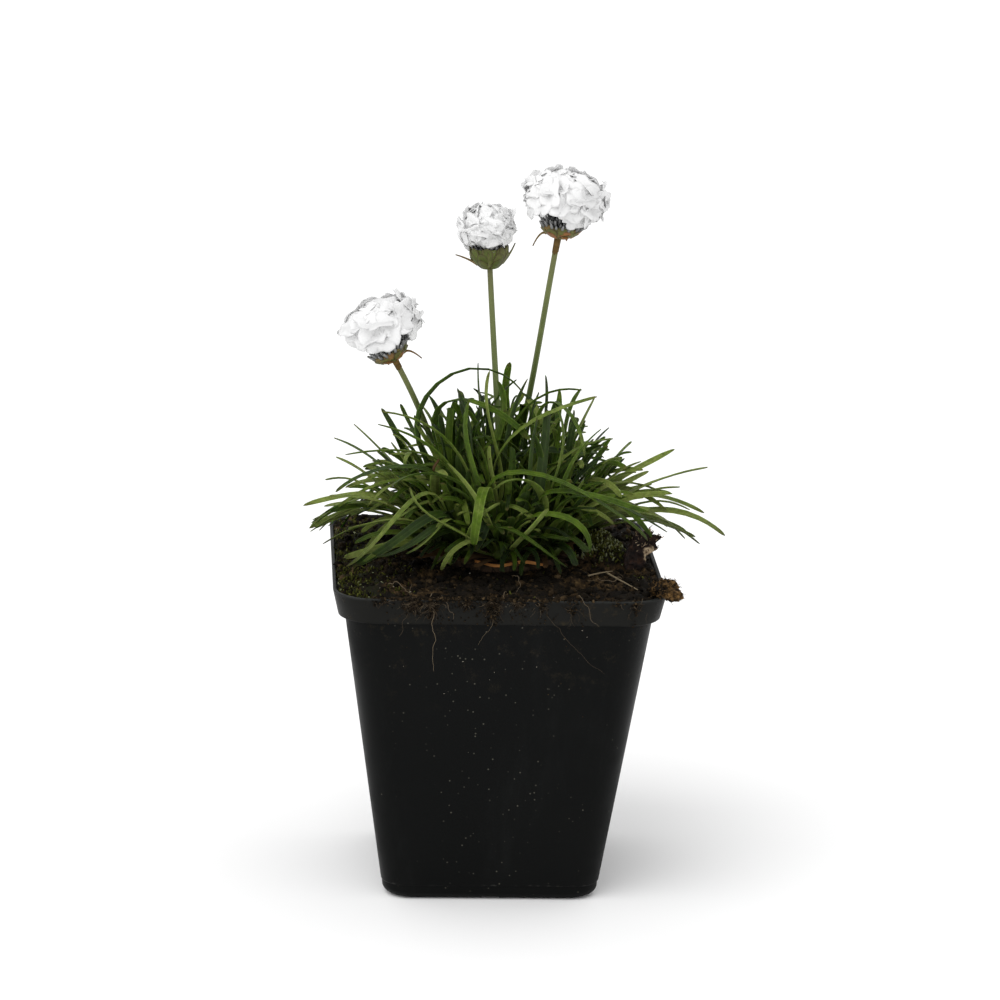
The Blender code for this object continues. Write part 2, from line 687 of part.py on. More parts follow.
def make_rosette(number, frame, leaves, stem_room, material):
    """A leafy shoot: a plug of leaf sheaths with its leaves sunk into it, and a socket for its stem."""
    bm = bmesh.new()
    sweep(bm, plug_rings(frame))
    rosette = add_object(f"rosette_{number}", bm, material)
    if stem_room:
        socket = bmesh.new()
        sweep(socket, stem_room)
        cut(rosette, socket)
    blades = []
    for rings in leaves:
        blade = bmesh.new()
        sweep(blade, rings)
        blades.append(blade)
    fuse(rosette, blades)
    return rosette


# The flowers


def make_stem(number, rings, material):
    """A leafless flower stem."""
    bm = bmesh.new()
    sweep(bm, rings)
    return add_object(f"flower_stem_{number}", bm, material)


def bract_rings(flower, frame, index):
    """Returns the rings of one bract, which leaves the side of the cup and points up and out."""
    turn = 2 * math.pi * (index + 0.3) / BRACT_COUNT
    radius = flower["cup_radius"] * MM
    height = flower["cup_height"] * MM
    tip = LONG_BRACT_TIP if index % 4 == 1 else BRACT_TIP
    outward = Vector((math.cos(turn), math.sin(turn), 0))
    points = [outward * (radius * out) + Vector((0, 0, height * up))
              for out, up in ((0.62, 0.25), (0.98, 0.55), tip)]
    path = [frame @ bezier(points, step / BRACT_STEPS) for step in range(BRACT_STEPS + 1)]
    across = frame.to_3x3() @ Vector((-math.sin(turn), math.cos(turn), 0))
    rings = []
    for share, breadth in BRACT_STATIONS:
        place = round(share * BRACT_STEPS)
        along = path[min(place + 1, BRACT_STEPS)] - path[max(place - 1, 0)]
        up = along.cross(across).normalized()
        half = across * (BRACT_WIDTH * breadth / 2)
        rings.append([path[place] - half, path[place] + half, path[place] + up * BRACT_DEPTH])
    return rings


def make_involucre(number, flower, material):
    """The cup of bracts under a head, open at the top for the head and below for the stem."""
    frame = flower_frame(flower)
    radius = flower["cup_radius"] * MM
    height = flower["cup_height"] * MM
    bore = STEM_TOP_RADIUS + GAP
    lip = radius * 0.97
    profile = ((bore, 0.0), (bore + CUP_WALL, 0.0), (radius * 0.78, height * 0.35), (radius, height * 0.75),
               (lip, height), (lip - CUP_WALL, height), (radius * CUP_NECK, height * 0.55), (bore, height * 0.45))
    bm = bmesh.new()
    corners = [bm.verts.new((out, 0, up)) for out, up in profile]
    edges = [bm.edges.new((corners[index - 1], corners[index])) for index in range(len(corners))]
    bmesh.ops.spin(bm, geom=corners + edges, axis=(0, 0, 1), cent=(0, 0, 0), angle=2 * math.pi,
                   steps=CUP_SIDES, use_merge=True)
    bmesh.ops.remove_doubles(bm, verts=bm.verts, dist=0.01 * MM)
    bmesh.ops.transform(bm, matrix=frame, verts=bm.verts)
    involucre = add_object(f"involucre_{number}", bm, material)
    bracts = []
    for index in range(BRACT_COUNT):
        bract = bmesh.new()
        sweep(bract, bract_rings(flower, frame, index))
        bracts.append(bract)
    fuse(involucre, bracts)
    return involucre


def make_floret(radius, rng):
    """A funnel with five notched lobes, its mouth on the level of the origin and its tube below."""
    bm = bmesh.new()
    bmesh.ops.create_cone(bm, cap_ends=True, segments=FLORET_SIDES, radius1=0, radius2=radius,
                          depth=FLORET_LENGTH, matrix=Matrix.Translation((0, 0, -FLORET_LENGTH / 2)))
    mouth = max(bm.faces, key=lambda face: face.calc_center_median().z)
    for index, vert in enumerate(mouth.verts):
        if index % 2:
            vert.co.x *= NOTCH
            vert.co.y *= NOTCH
            vert.co.z -= radius * NOTCH_DROP
        else:
            vert.co.z += radius * rng.uniform(*LOBE_LIFT)
    throat = bmesh.ops.poke(bm, faces=[mouth])["verts"][0]
    throat.co.z = -radius * THROAT
    return bm


def head_shape(flower):
    """Returns the height of a head's middle, and its half width and half height."""
    top = flower["top"] * MM
    bottom = flower["bottom"] * MM
    return (top + bottom) / 2, flower["radius"] * MM, (top - bottom) / 2


def core_rings(flower, frame):
    """Returns the rings of a head's core, from its neck in the cup to its crown."""
    middle, across, tall = head_shape(flower)
    cup_height = flower["cup_height"] * MM
    neck = flower["cup_radius"] * MM * CUP_NECK - 1.4 * GAP
    rings = [circle(neck * 0.6, cup_height * 0.55 + 1.2 * GAP, HEAD_SIDES, frame),
             circle(neck, cup_height + GAP, HEAD_SIDES, frame)]
    for latitude in CORE_LATITUDES:
        out = (across - CORE_INSET) * math.cos(math.radians(latitude))
        up = middle + (tall - CORE_INSET) * math.sin(math.radians(latitude))
        if up > cup_height + 3 * GAP:
            rings.append(circle(out, up, HEAD_SIDES, frame))
    return rings


def floret_matrix(flower, share, turn, rng):
    """Returns where a floret sits on a head: share runs from the crown down to the lowest florets."""
    middle, across, tall = head_shape(flower)
    rise = 1 - share * (1 - FLORET_LOWEST)
    level = math.sqrt(1 - rise * rise)
    aim = Vector((level * math.cos(turn), level * math.sin(turn), rise))
    reach = -rng.uniform(0.0, FLORET_SINK)
    mouth = Vector((aim.x * (across + reach), aim.y * (across + reach), middle + aim.z * (tall + reach)))
    facing = Vector((aim.x / across, aim.y / across, aim.z / tall)).normalized()
    facing += Vector([rng.uniform(-FLORET_LEAN, FLORET_LEAN) for axis in range(3)])
    turned = facing.to_track_quat("Z", "Y").to_matrix().to_4x4()
    return Matrix.Translation(mouth) @ turned @ Matrix.Rotation(rng.uniform(0, 1.2), 4, "Z")


def make_head(number, flower, material, cup):
    """A dense head: a small core that florets cover on all sides, standing in its cup of bracts."""
    frame = flower_frame(flower)
    rng = random.Random(SEED + number)
    bm = bmesh.new()
    sweep(bm, core_rings(flower, frame))
    head = add_object(f"flower_head_{number}", bm, material)
    size = min(FLORET_RADIUS, flower["radius"] * MM * FLORET_SHARE)
    florets = []
    for index in range(flower["florets"]):
        floret = make_floret(size * rng.uniform(0.9, 1.1), rng)
        place = floret_matrix(flower, (index + 0.5) / flower["florets"], index * GOLDEN_TURN, rng)
        bmesh.ops.transform(floret, matrix=frame @ place, verts=floret.verts)
        if BVHTree.FromBMesh(floret).overlap(cup):
            floret.free()
        else:
            florets.append(floret)
    fuse(head, florets)
    return head


# What lies on the soil


def ground(surface, x, y, spread=0.0):
    """Returns the greatest height of the soil round a place."""
    spots = [(x, y)] + [(x + spread * math.cos(turn), y + spread * math.sin(turn)) for turn in range(6)]
    return max(surface.ray_cast(Vector((*spot, 2 * POT_HEIGHT)), Vector((0, 0, -1)))[0].z for spot in spots)


def flake_outline():
    """Returns the ragged outline of the bark flake in its own plane, with its foot below the origin."""
    return [Vector((across * MM, 0, up * MM)) for across, up in FLAKE_OUTLINE]


def make_bark_flake(surface):
    """A flake of bark that stands in the soil by the right side of the pot."""
    place = Matrix.Translation((*FLAKE_PLACE, ground(surface, *FLAKE_PLACE)))
    turn = Matrix.Rotation(math.radians(FLAKE_TURN), 4, "Z")
    frame = place @ turn @ Matrix.Rotation(math.radians(-FLAKE_LEAN), 4, "X")
    bm = bmesh.new()
    sweep(bm, [[frame @ (point + Vector((0, side * FLAKE_THICK / 2, 0))) for point in flake_outline()]
               for side in (-1, 1)])
    flake = add_object("bark_flake", bm, make_material("bark_flake", (0.060, 0.026, 0.014), 0.9))
    return flake, frame


def cut_flake_slot(soil, frame):
    """Cuts the plain slot that the bark flake stands in."""
    slot = bmesh.new()
    low = [point for point in flake_outline() if point.z < SLOT_LEVEL]
    left, right = (side(point.x for point in low) for side in (min, max))
    foot = min(point.z for point in low) - GAP
    middle = Matrix.Translation(((left + right) / 2, 0, (SLOT_TOP + foot) / 2))
    size = Matrix.Diagonal((right - left + 4 * GAP, FLAKE_THICK + 2 * GAP, SLOT_TOP - foot, 1.0))
    bmesh.ops.create_cube(slot, size=1.0, matrix=frame @ middle @ size)
    cut(soil, slot)


def make_peat_clod():
    """A clod of fibrous peat that sits over the right front corner of the rim."""
    bm = bmesh.new()
    bmesh.ops.create_icosphere(bm, subdivisions=2, radius=MM)
    bmesh.ops.scale(bm, verts=bm.verts, vec=CLOD_SIZE)
    for vert in bm.verts:
        vert.co *= 1 + CLOD_RELIEF * noise.noise(vert.co / CLOD_GRAIN)
    bmesh.ops.translate(bm, verts=bm.verts, vec=CLOD_PLACE)
    clod = add_object("peat_clod", bm, make_material("fibrous_peat", (0.075, 0.042, 0.022), 0.95))
    rim = bmesh.new()
    sweep(rim, [square_ring(RIM_HALF + GAP, level) for level in (POT_HEIGHT - COLLAR_HEIGHT, POT_HEIGHT + GAP)])
    cut(clod, rim)
    return clod


def make_dead_leaf(surface):
    """A dead orange leaf that lies in front of the tuft."""
    points = [Vector(point) * MM for point in DEAD_LEAF]
    path = []
    for step in range(LEAF_STEPS + 1):
        spot = bezier(points, step / LEAF_STEPS)
        spot.z += ground(surface, spot.x, spot.y, 1.2 * MM) + GAP + LEAF_DEPTH
        path.append(spot)
    bm = bmesh.new()
    sweep(bm, blade_rings(path, DEAD_LEAF_WIDTH))
    return add_object("dead_leaf", bm, make_material("dead_leaf", (0.30, 0.12, 0.035), 0.7))


def make_straw(surface):
    """A pale forked straw that lies on the soil at the front right."""
    limbs = []
    for start, end in STRAW_LIMBS:
        first, last = Vector((*start, 0)) * MM, Vector((*end, 0)) * MM
        path = [first.lerp(last, step / STRAW_STEPS) for step in range(STRAW_STEPS + 1)]
        for spot in path:
            spot.z = ground(surface, spot.x, spot.y, 1.5 * MM) + GAP + STRAW_RADIUS
        radii = [STRAW_RADIUS * (1 - STRAW_TAPER * step) for step in range(STRAW_STEPS + 1)]
        limb = bmesh.new()
        sweep(limb, tube_rings(path, radii, STRAW_SIDES))
        limbs.append(limb)
    straw = add_object("straw", limbs[0], make_material("straw", (0.45, 0.38, 0.24), 0.75))
    fuse(straw, limbs[1:])
    return straw


def build():
    """Builds every piece."""
    clear_scene()
    pot = make_pot()
    soil = make_soil()
    rootstock = make_rootstock()
    surface = tree_of(soil)
    flake, flake_frame = make_bark_flake(surface)
    clod = make_peat_clod()
    dead_leaf = make_dead_leaf(surface)
    straw = make_straw(surface)
    cut_flake_slot(soil, flake_frame)
    green = make_material("leaf_green", (0.045, 0.085, 0.018), 0.5)
    stem_green = make_material("stem_green", (0.12, 0.15, 0.05), 0.5)
    bract_green = make_material("bract_green", (0.10, 0.11, 0.045), 0.6)
    white = make_material("petal_white", (0.82, 0.82, 0.83), 0.7)
    frames = rosette_places()
    stems = [stem_rings(flower, frames[flower["rosette"] - 1]) for flower in FLOWERS]
    stem_trees = [tree_of_rings(rings) for rings in stems]
    solid_trees = [tree_of(thing) for thing in (pot, soil, rootstock, flake, clod, dead_leaf, straw)]
    leaves = grow_rosettes(stem_trees + solid_trees)
    rooms = {flower["rosette"]: stem_rings(flower, frames[flower["rosette"] - 1], GAP) for flower in FLOWERS}
    for number, frame in enumerate(frames, 1):
        make_rosette(number, frame, leaves[number - 1], rooms.get(number), green)
    for number, flower in enumerate(FLOWERS, 1):
        make_stem(number, stems[number - 1], stem_green)
        cup = make_involucre(number, flower, bract_green)
        make_head(number, flower, white, tree_of(cup))


build()
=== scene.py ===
import math
import random

import bmesh
import bpy
from bpy.props import FloatProperty, FloatVectorProperty, IntProperty, PointerProperty
from mathutils import Matrix, Vector, noise
from mathutils.bvhtree import BVHTree


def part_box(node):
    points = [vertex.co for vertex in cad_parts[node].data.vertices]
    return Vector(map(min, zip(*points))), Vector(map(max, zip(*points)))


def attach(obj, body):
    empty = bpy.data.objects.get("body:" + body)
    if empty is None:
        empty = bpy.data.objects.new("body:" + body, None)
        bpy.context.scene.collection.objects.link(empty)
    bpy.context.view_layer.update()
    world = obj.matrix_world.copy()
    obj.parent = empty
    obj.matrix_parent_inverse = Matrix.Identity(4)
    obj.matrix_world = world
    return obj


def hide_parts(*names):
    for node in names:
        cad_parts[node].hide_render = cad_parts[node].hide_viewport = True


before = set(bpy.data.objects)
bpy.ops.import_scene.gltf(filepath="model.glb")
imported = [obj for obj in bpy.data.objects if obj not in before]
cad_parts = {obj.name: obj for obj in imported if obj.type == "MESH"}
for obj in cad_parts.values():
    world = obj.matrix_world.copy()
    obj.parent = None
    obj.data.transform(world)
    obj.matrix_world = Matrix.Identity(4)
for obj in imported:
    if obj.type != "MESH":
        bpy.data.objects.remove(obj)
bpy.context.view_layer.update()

bl_info = {
    "name": "Potted Sea Thrift",
    "version": (1, 0, 0),
    "blender": (4, 5, 0),
    "location": "View3D > Sidebar > Sea Thrift",
    "description": "Dresses the packed sea thrift in its pot: leaves, flowers, peat, moss and plastic",
    "category": "Add Mesh",
}

MM = 0.001
GAP = 0.35 * MM
FULL_TURN = 2 * math.pi
GOLDEN_TURN = math.radians(137.508)
UPRIGHT = Vector((0, 0, 1))
MARKS = ("tint", "along", "across", "under")  # numbers that a material reads at each corner

# The pot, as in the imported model.
POT_HEIGHT = 90 * MM
RIM_HALF = 45 * MM
COLLAR_HALF = 43.4 * MM
COLLAR_HEIGHT = 7.2 * MM
BODY_TOP_HALF = 41.6 * MM
BASE_HALF = 29.8 * MM
FOOT_HEIGHT = 4.4 * MM
FOOT_STEP = 0.35 * MM
FOOT_ROUND = 3.0 * MM
WALL = 1.0 * MM
FLOOR = 1.6 * MM
CORNER_SHARE = 0.24
CORNER_STEPS = 12
DRAIN_RADIUS = 3.3 * MM
DRAIN_REACH = 17.5 * MM
VENT_WIDTH = 5 * MM
VENT_HEIGHT = 0.7 * MM
VENT_START = 17 * MM
EDGE_ROUND = 0.3 * MM  # of the rim and of the collar's lower edge
STEP_ROUND = 0.12 * MM  # of the small steps in the pot's face

# The soil's relief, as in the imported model, and the crumb that is finer than that.
SOIL_EDGE = POT_HEIGHT - 0.5 * MM
SOIL_HUMP = 2.6 * MM
SOIL_SIDES = 220
SOIL_RINGS = 52
GRAIN_HEIGHT = 1.1 * MM
GRAIN_SIZE = 7 * MM
LUMP_CENTRE = Vector((29.5 * MM, -4 * MM, 0))
LUMP_RADIUS = 7 * MM
LUMP_HEIGHT = 8 * MM
CRUMB_RELIEF = 1.0 * MM
CRUMB_SIZE = 2.1 * MM

# What is strewn over the soil. The crumbs that heap up on the front rim lie round a place along it, in mm.
CRUMB_SHAPES = 7
CRUMB_NEAREST = 16 * MM  # to the middle of the crown
CRUMB_INSET = 1.6 * MM  # from the outside of the rim
GRIT_SHARE = 0.012  # of the crumbs are pale grit
GRIT_SIZE = 0.35 * MM
HEAP_MIDDLE = -7
HEAP_SPREAD = 13
HEAP_WIDTH = 10
HEAP_REACH = 32 * MM
HEAP_FALL = 9 * MM  # the furthest that crumbs on the collar have fallen
SPECK_COUNT = 150  # dirt on the pot's front face
MOSS_INSET = 1.4 * MM
LUMP_SPREAD = 4.5  # of the moss on the lump, in mm
FIBRE_COUNT = 150
FIBRE_NEAREST = 17 * MM  # to the middle of the crown

# Tufts of peat that hang over the front rim: place along it, drop and spread in mm, and number of fibres.
RIM_TUFTS = ((-23.5, 4.0, 3.0, 110), (-18.5, 5.2, 2.2, 130), (-9.5, 2.6, 2.0, 60), (-2.5, 6.4, 2.4, 220),
             (4.5, 2.4, 2.0, 60), (10.5, 5.2, 2.2, 26), (18.5, 5.8, 3.0, 26), (31.0, 1.8, 2.5, 16),
             (-33.0, 1.8, 3.0, 30), (36.0, 6.0, 1.8, 40))

# Roots and fibres over the front rim: points in mm, radius in mm and tint.
RIM_FIBRES = (
    ((-19, -40, 90.6), (-18.6, -46.6, 91.5), (-18.4, -45.4, 84), (-18.0, -45.2, 76), (-17.8, -44.8, 70.3),
     0.1, 1.3),
    ((20.5, -42, 90.8), (21.5, -46.0, 92.0), (22.4, -45.3, 87.5), (26, -44.3, 83), 0.08, 1.0),
    ((9, -43, 90.8), (11, -46.2, 91.6), (13, -43.9, 82), (21, -42.6, 74), (28.4, -40.2, 68.5), 0.06, 0.4),
    ((-24, -38, 92), (-25, -46.8, 92.5), (-25.6, -44.6, 84), (-27, -42.4, 79), 0.06, 0.5),
    ((-30, -36, 91.8), (-28, -41, 94), (-24, -43, 91.2), 0.09, 0.9),
    ((1, -40, 91), (0, -47, 91), (-1.5, -44.4, 84), (-6, -42.2, 77), 0.07, 0.8),
    ((3, -30, 93), (6, -35, 94.5), (4, -41, 91.2), 0.08, 0.7),
    ((-17, -44, 90.6), (-15, -46.6, 90.2), (-13, -44.6, 84.6), 0.07, 0.9),
    ((33, -28, 91.5), (30, -33, 93.0), (24, -30, 92.0), 0.09, 0.7),
)

# The crown and the rosettes on it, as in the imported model.
CROWN_CENTRE = Vector((2 * MM, 1 * MM, 0))
CROWN_RADIUS = 20.5 * MM
CROWN_TOP = 95 * MM
ROOT_PROFILE = ((1.2, 36), (3.6, 58), (6.5, 77), (18.5, 87.5), (20.5, 90.5))
RING_RADIUS = 15.5 * MM
RING_COUNT = 8
RING_LEAN = 24
RING_DROP = 1.5 * MM
PLUG_PROFILE = ((2.6, -3.2), (2.6, 0.8), (4.2, 2.4), (4.4, 3.6), (3.6, 5.2), (1.8, 6.2))
PLUG_SIDES = 8
PLUG_TOP = 6.2 * MM
LEAVES_EACH = 20
TUFT_REACH = Vector((56 * MM, 52 * MM, 48 * MM))
TUFT_FRONT = 36 * MM
TUFT_POWER = 1.3
SEED = 5
FOOT_NEAREST = 0.5 * MM
FOOT_BY_STEM = 2.5 * MM
FOOT_FURTHEST = 3.5 * MM
FOOT_SINK = 1.6 * MM
FOOT_DROP = 1.5 * MM
LEAF_LENGTH = (36 * MM, 56 * MM)
LEAF_WIDTH = (2.0 * MM, 3.2 * MM)
LEAF_RISE = (0.04, 0.14)
LEAF_RISE_ADDED = 0.22
LEAF_SPREAD = 6
LEAF_SPREAD_ADDED = 82
LEAF_SPREAD_RANGE = 12
LEAF_TURN_RANGE = 0.6
LEAF_OUTWARD = 0.25
LEAF_LOWEST_AIM = 0.02
LEAF_STEPS = 20
LEAF_CREST = 0.45
LEAF_START = 0.1
LEAF_BOW = 0.2
LEAF_DEPTH = 0.8 * MM
TIP_DEPTH = 0.75
LEAF_STATIONS = ((0.0, 0.82), (0.3, 1.0), (0.6, 0.97), (0.85, 0.78), (1.0, 0.32))
LEAF_CLEARANCE = 0.25 * MM
LEAF_TRIES = 90
TRY_SHIFT = 0.16 * MM
TRY_BEND = 0.004

# Leaves that set the outline: tip in mm, rise of the arch as a share of the length, width in mm.
OUTLINE_LEAVES = (
    ((-53, -8, 106), 0.34, 2.4),
    ((-46, -16, 111), 0.18, 2.2),
    ((-47, -2, 112), 0.22, 2.2),
    ((-44, 8, 116), 0.16, 2.2),
    ((-44.5, 14, 120), 0.16, 2.4),
    ((-39, 14, 124), 0.12, 2.6),
    ((-31.5, 12, 129), 0.1, 3.2),
    ((-26, 20, 128.5), 0.12, 2.4),
    ((-18, 20, 131), 0.1, 2.6),
    ((-41, -24, 104), 0.3, 2.0),
    ((-42, -27, 96.5), 0.14, 2.6),
    ((-39, -19, 98.5), 0.2, 2.6),
    ((-37, -33, 97), 0.18, 2.6),
    ((-6.5, -28, 99), 1.5, 3.2),
    ((-14, -32, 96.5), 0.22, 2.4),
    ((-10.5, -2, 137.5), 0.08, 3.2),
    ((-5.5, 2, 144.5), 0.06, 2.6),
    ((3.5, 8, 143.5), 0.1, 2.6),
    ((10.5, 2, 133), 0.34, 2.4),
    ((13.5, 10, 139.5), 0.08, 2.4),
    ((24, 16, 134.5), 0.14, 2.6),
    ((27.5, 12, 133), 0.12, 2.4),
    ((18.5, 22, 133), 0.08, 2.6),
    ((32, 14, 124), 0.1, 2.6),
    ((37.5, 4, 122.5), 0.12, 3.2),
    ((50.5, 12, 118.5), 0.16, 2.4),
    ((59, 4, 115.5), 0.16, 2.4),
    ((51, -1, 111), 0.16, 2.2),
    ((48.5, -5, 110), 0.18, 2.4),
    ((54, -1, 104.5), 0.26, 2.4),
    ((59, 7, 101.5), 0.34, 2.4),
    ((63.5, -6, 98.5), 0.26, 3.0),
    ((42, -18, 101), 0.8, 2.4),
    ((23.5, -31, 100), 0.36, 3.4),
    ((20, -36, 97.5), 0.2, 2.6),
)

# Leaves that cross in front: three places in mm that each passes, the last its tip, width in mm and tint,
# which holds each leaf's painted light and shade as well as its colour.
FRONT_LEAVES = (
    ((-7, -8, 136.5), (1, -12, 134), (8, -16, 127), 2.5, 0.45),
    ((-8, -4, 142.5), (-1, -6, 142.5), (6.5, -10, 138.5), 1.7, 0.3),
    ((0.5, -22, 118.5), (21.5, -25, 117), (40.5, -22, 101), 2.3, 0.5),
    ((13.5, -28, 109.5), (20, -31, 106.5), (24, -33, 100.5), 2.9, 0.58),
    ((-5.5, -28, 114), (-6.5, -31, 109), (-7.5, -33, 102), 3.35, 0.62),
    ((9, -24, 117), (4, -28, 119.5), (-2, -31, 117.5), 2.6, 0.75),
    ((8, -20, 122), (8.5, -19, 128), (9.5, -18, 134), 3.6, 0.12),
    ((11, -18, 117), (12, -17, 126), (12.5, -15, 135.5), 3.4, 0.02),
    ((15.5, -14, 118.5), (16.5, -12, 126.5), (15, -9, 135.5), 3.0, 0.75),
    ((-7, -20, 120), (-8.5, -18, 129), (-8.5, -14, 138), 2.1, 0.5),
    ((-9.5, -10, 131), (-10.5, -9, 135), (-11.5, -8, 139.5), 3.8, 0.0),
    ((-12, -18, 125), (-20.5, -20, 133.5), (-32.5, -22, 136), 3.0, 0.75),
    ((-15.5, -19, 123), (-24, -22, 130), (-33.5, -24, 133), 2.4, 0.62),
    ((-16.5, -26, 120), (-23.5, -29, 120.5), (-30, -31, 117.5), 3.0, 0.38),
    ((-12.5, -30, 106), (-18.5, -29, 110), (-24.5, -27, 116.5), 2.4, 0.92),
    ((-9.5, -27, 116.5), (-12, -26, 119.5), (-14.5, -24, 122.5), 2.6, 0.98),
    ((6.5, -16, 131.5), (15.5, -18, 137), (25.5, -20, 140.5), 2.1, 0.82),
    ((11, -10, 136.5), (16, -11, 139), (22, -12, 140.5), 1.8, 0.5),
    ((19.5, -14, 132), (21.5, -16, 128), (23, -17, 123), 2.2, 0.6),
    ((18, -20, 119.5), (21, -22, 126.5), (26.5, -24, 132.5), 2.8, 0.55),
    ((7.5, -30, 105.5), (10.5, -30, 109), (12.5, -29, 111.5), 2.1, 0.88),
    ((-5.5, -30, 108.5), (-3, -30, 111), (-0.5, -29, 113), 2.1, 0.82),
    ((-11, -33, 101.5), (-14, -35, 99), (-16, -35, 95.5), 1.6, 0.9),
    ((2.5, -30, 106), (11, -33, 102), (18, -34, 96.5), 2.4, 0.38),
    ((-18, -28, 105), (-21.5, -30, 102), (-25.5, -31, 99), 2.4, 0.9),
    ((-17.5, -27, 105.5), (-26, -30, 102), (-33.5, -31, 98), 3.2, 0.2),
    ((-19, -26, 108), (-28.5, -28, 102), (-40, -27, 94.5), 3.2, 0.15),
    ((-24, -26, 112.5), (-32.5, -28, 104.5), (-41.5, -27, 94), 1.8, 0.85),
    ((16, -24, 115.5), (26.5, -26, 113), (40.5, -26, 110), 2.4, 0.5),
    ((0.5, -8, 128), (1.5, -6, 135.5), (-0.5, -4, 141), 2.6, 0.6),
    ((3.5, -10, 131.5), (5.5, -8, 137.5), (7.5, -6, 142), 2.6, 0.15),
    ((-3.5, -12, 131.5), (-4.5, -10, 138), (-3, -8, 144.5), 2.2, 0.92),
    ((23, -22, 113.5), (34, -22, 111), (46, -20, 103), 2.4, 0.3),
    ((-22, -18, 124.5), (-31.5, -20, 126), (-42, -20, 123.5), 2.4, 0.7),
    ((-20.5, -20, 120), (-32.5, -22, 120), (-44.5, -20, 113), 2.4, 0.3),
)
FRONT_TRIES = 40
EXTRA_EACH = 40
EXTRA_TRIES = 14
EXTRA_WIDTH = 0.72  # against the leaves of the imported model
EXTRA_RISE = 0.22  # at most this much more arched than they are

# The flake of bark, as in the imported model: its outline in mm stands in its own plane. Its hollow is pale.
FLAKE_PLACE = (38 * MM, -11 * MM)
FLAKE_TURN = 15
FLAKE_LEAN = 10
FLAKE_THICK = 1.8 * MM
FLAKE_OUTLINE = ((-3.2, -2.6), (2.4, -2.6), (3.0, 1.5), (3.6, 3.4), (6.2, 5.0), (5.8, 6.8), (7.0, 8.2),
                 (5.0, 9.0), (4.4, 10.6), (2.2, 9.2), (0.4, 8.6), (-0.8, 6.4), (-2.6, 5.0), (-3.4, 2.2))
FLAKE_HOLLOW = (4.6 * MM, 3.4 * MM)
HOLLOW_RADIUS = 2.3 * MM
SPLINTER_COUNT = 150

# The other debris. A straw has its two ends and its radius, in mm.
CLOD_FIBRES = 340
DEAD_LEAF_WIDTH = 1.35 * MM
STRAWS = (((24.5, -24), (31.5, -18.6), 0.27), ((29.9, -19.8), (37, -35), 0.3))

# Dry leaf bases round each rosette, and a dead leaf end among the green.
SHEATHS_EACH = 13
SHEATH_FOOT = 3.4 * MM
SHEATH_LOWEST = 94 * MM
ORANGE_BIT = ((-18.4, -18, 118), (-18.2, -18.4, 120.5), (-16.6, -18, 122))

# The shape of a finished blade: breadth and depth of its outline, and the shares where it has a ring.
UNDERSIDE = -0.3  # what lies deeper in the outline is a leaf's underside
BLADE_OUTLINE = ((-1.0, -0.12), (-0.55, 0.0), (0.0, -0.2), (0.55, 0.0), (1.0, -0.12), (0.6, -0.7),
                 (0.0, -1.0), (-0.6, -0.7))
BLADE_SHARES = (0.0, 0.07, 0.14, 0.21, 0.28, 0.35, 0.42, 0.5, 0.58, 0.66, 0.74, 0.82, 0.88, 0.93, 0.965,
                0.985, 1.0)
BLADE_DEPTH = 0.6 * MM
BLADE_TWIST = 0.7
BLADE_ROLL = 0.28  # how far leaves at the sides turn their faces to the front
BLADE_SLIMMER = 0.95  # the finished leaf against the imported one
LOW_SLIMMER = 0.68  # and more so for leaves that end low under the others
BLADE_WAVE = 0.03  # sway to either side as a share of the length
BLADE_LIMP = 0.1  # how far the ends of inner leaves hang or lean aside, as a share of the length
BROAD = 3.3 * MM  # wider leaves than this end bluntly

# The flowers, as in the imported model: lengths in mm, tilts and azimuths in degrees. A horn is a long bract:
# its azimuth, how far out and up from the joint its tip lies, its width in mm and its tint. A trim is what
# the finished head is smaller by, around, below and above, for its ruffles stand out from it. Bare is the
# side without low florets, and the slope says how much higher they start to either side of the joint.
FLOWERS = (
    {"rosette": 5, "joint": (-28.6, -3, 146), "tilt": 30, "azimuth": 182, "sway": 0, "radius": 12.8,
     "trim": (1.2, 2.0, 2.5), "bottom": 0.8, "top": 19.4, "florets": 42, "cup_radius": 4.8,
     "cup_height": 3.2, "bare": (0.6, -1, 0), "slope": 0.58,
     "horns": ((0, 6.7, -3.2, 0.9, 0.7), (185, 5.8, 4.6, 2.4, 0.2), (250, 5.0, 0.6, 1.8, 0.8))},
    {"rosette": 1, "joint": (-2.9, 5, 170.3), "tilt": 4, "azimuth": 182, "sway": -1, "radius": 8.8,
     "trim": (1.5, 0.8, 1.6), "bottom": 5.4, "top": 18.4, "florets": 32, "cup_radius": 5.2,
     "cup_height": 5.8,
     "horns": ((190, 9.4, 4.6, 1.9, 0.62), (-5, 7.2, 6.8, 1.8, 0.45), (265, 5.6, 5.4, 1.6, 0.3))},
    {"rosette": 4, "joint": (15.1, 0, 180), "tilt": 9, "azimuth": -5, "sway": 9, "radius": 12.8,
     "trim": (2.1, 3.3, 1.6), "bottom": 0.8, "top": 20.0, "florets": 42, "cup_radius": 5.0,
     "cup_height": 3.4, "bare": (-0.6, -1, 0), "slope": 0.34,
     "horns": ((183, 6.4, -3.4, 0.9, 0.6), (-8, 6.6, 4.2, 2.2, 0.9), (290, 5.6, 0.4, 1.9, 0.85))},
)
STEM_FOOT_RADIUS = 1.0 * MM
STEM_TOP_RADIUS = 0.85 * MM
STEM_SLIMMER = 0.9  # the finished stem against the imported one
STEM_SIDES = 14
STEM_STEPS = 9
STEM_SINK = 3.2 * MM
STEM_PULL = 0.34
CUP_WALL = 0.9 * MM
SHEATH_SHARE = 0.05  # length of the brown sheath against the stem's
BRACT_COUNT = 7
FLORET_RADIUS = 5.0 * MM
FLORET_SHARE = 0.46
FLORET_LOWEST = -0.8
FLORET_SINK = 0.8 * MM
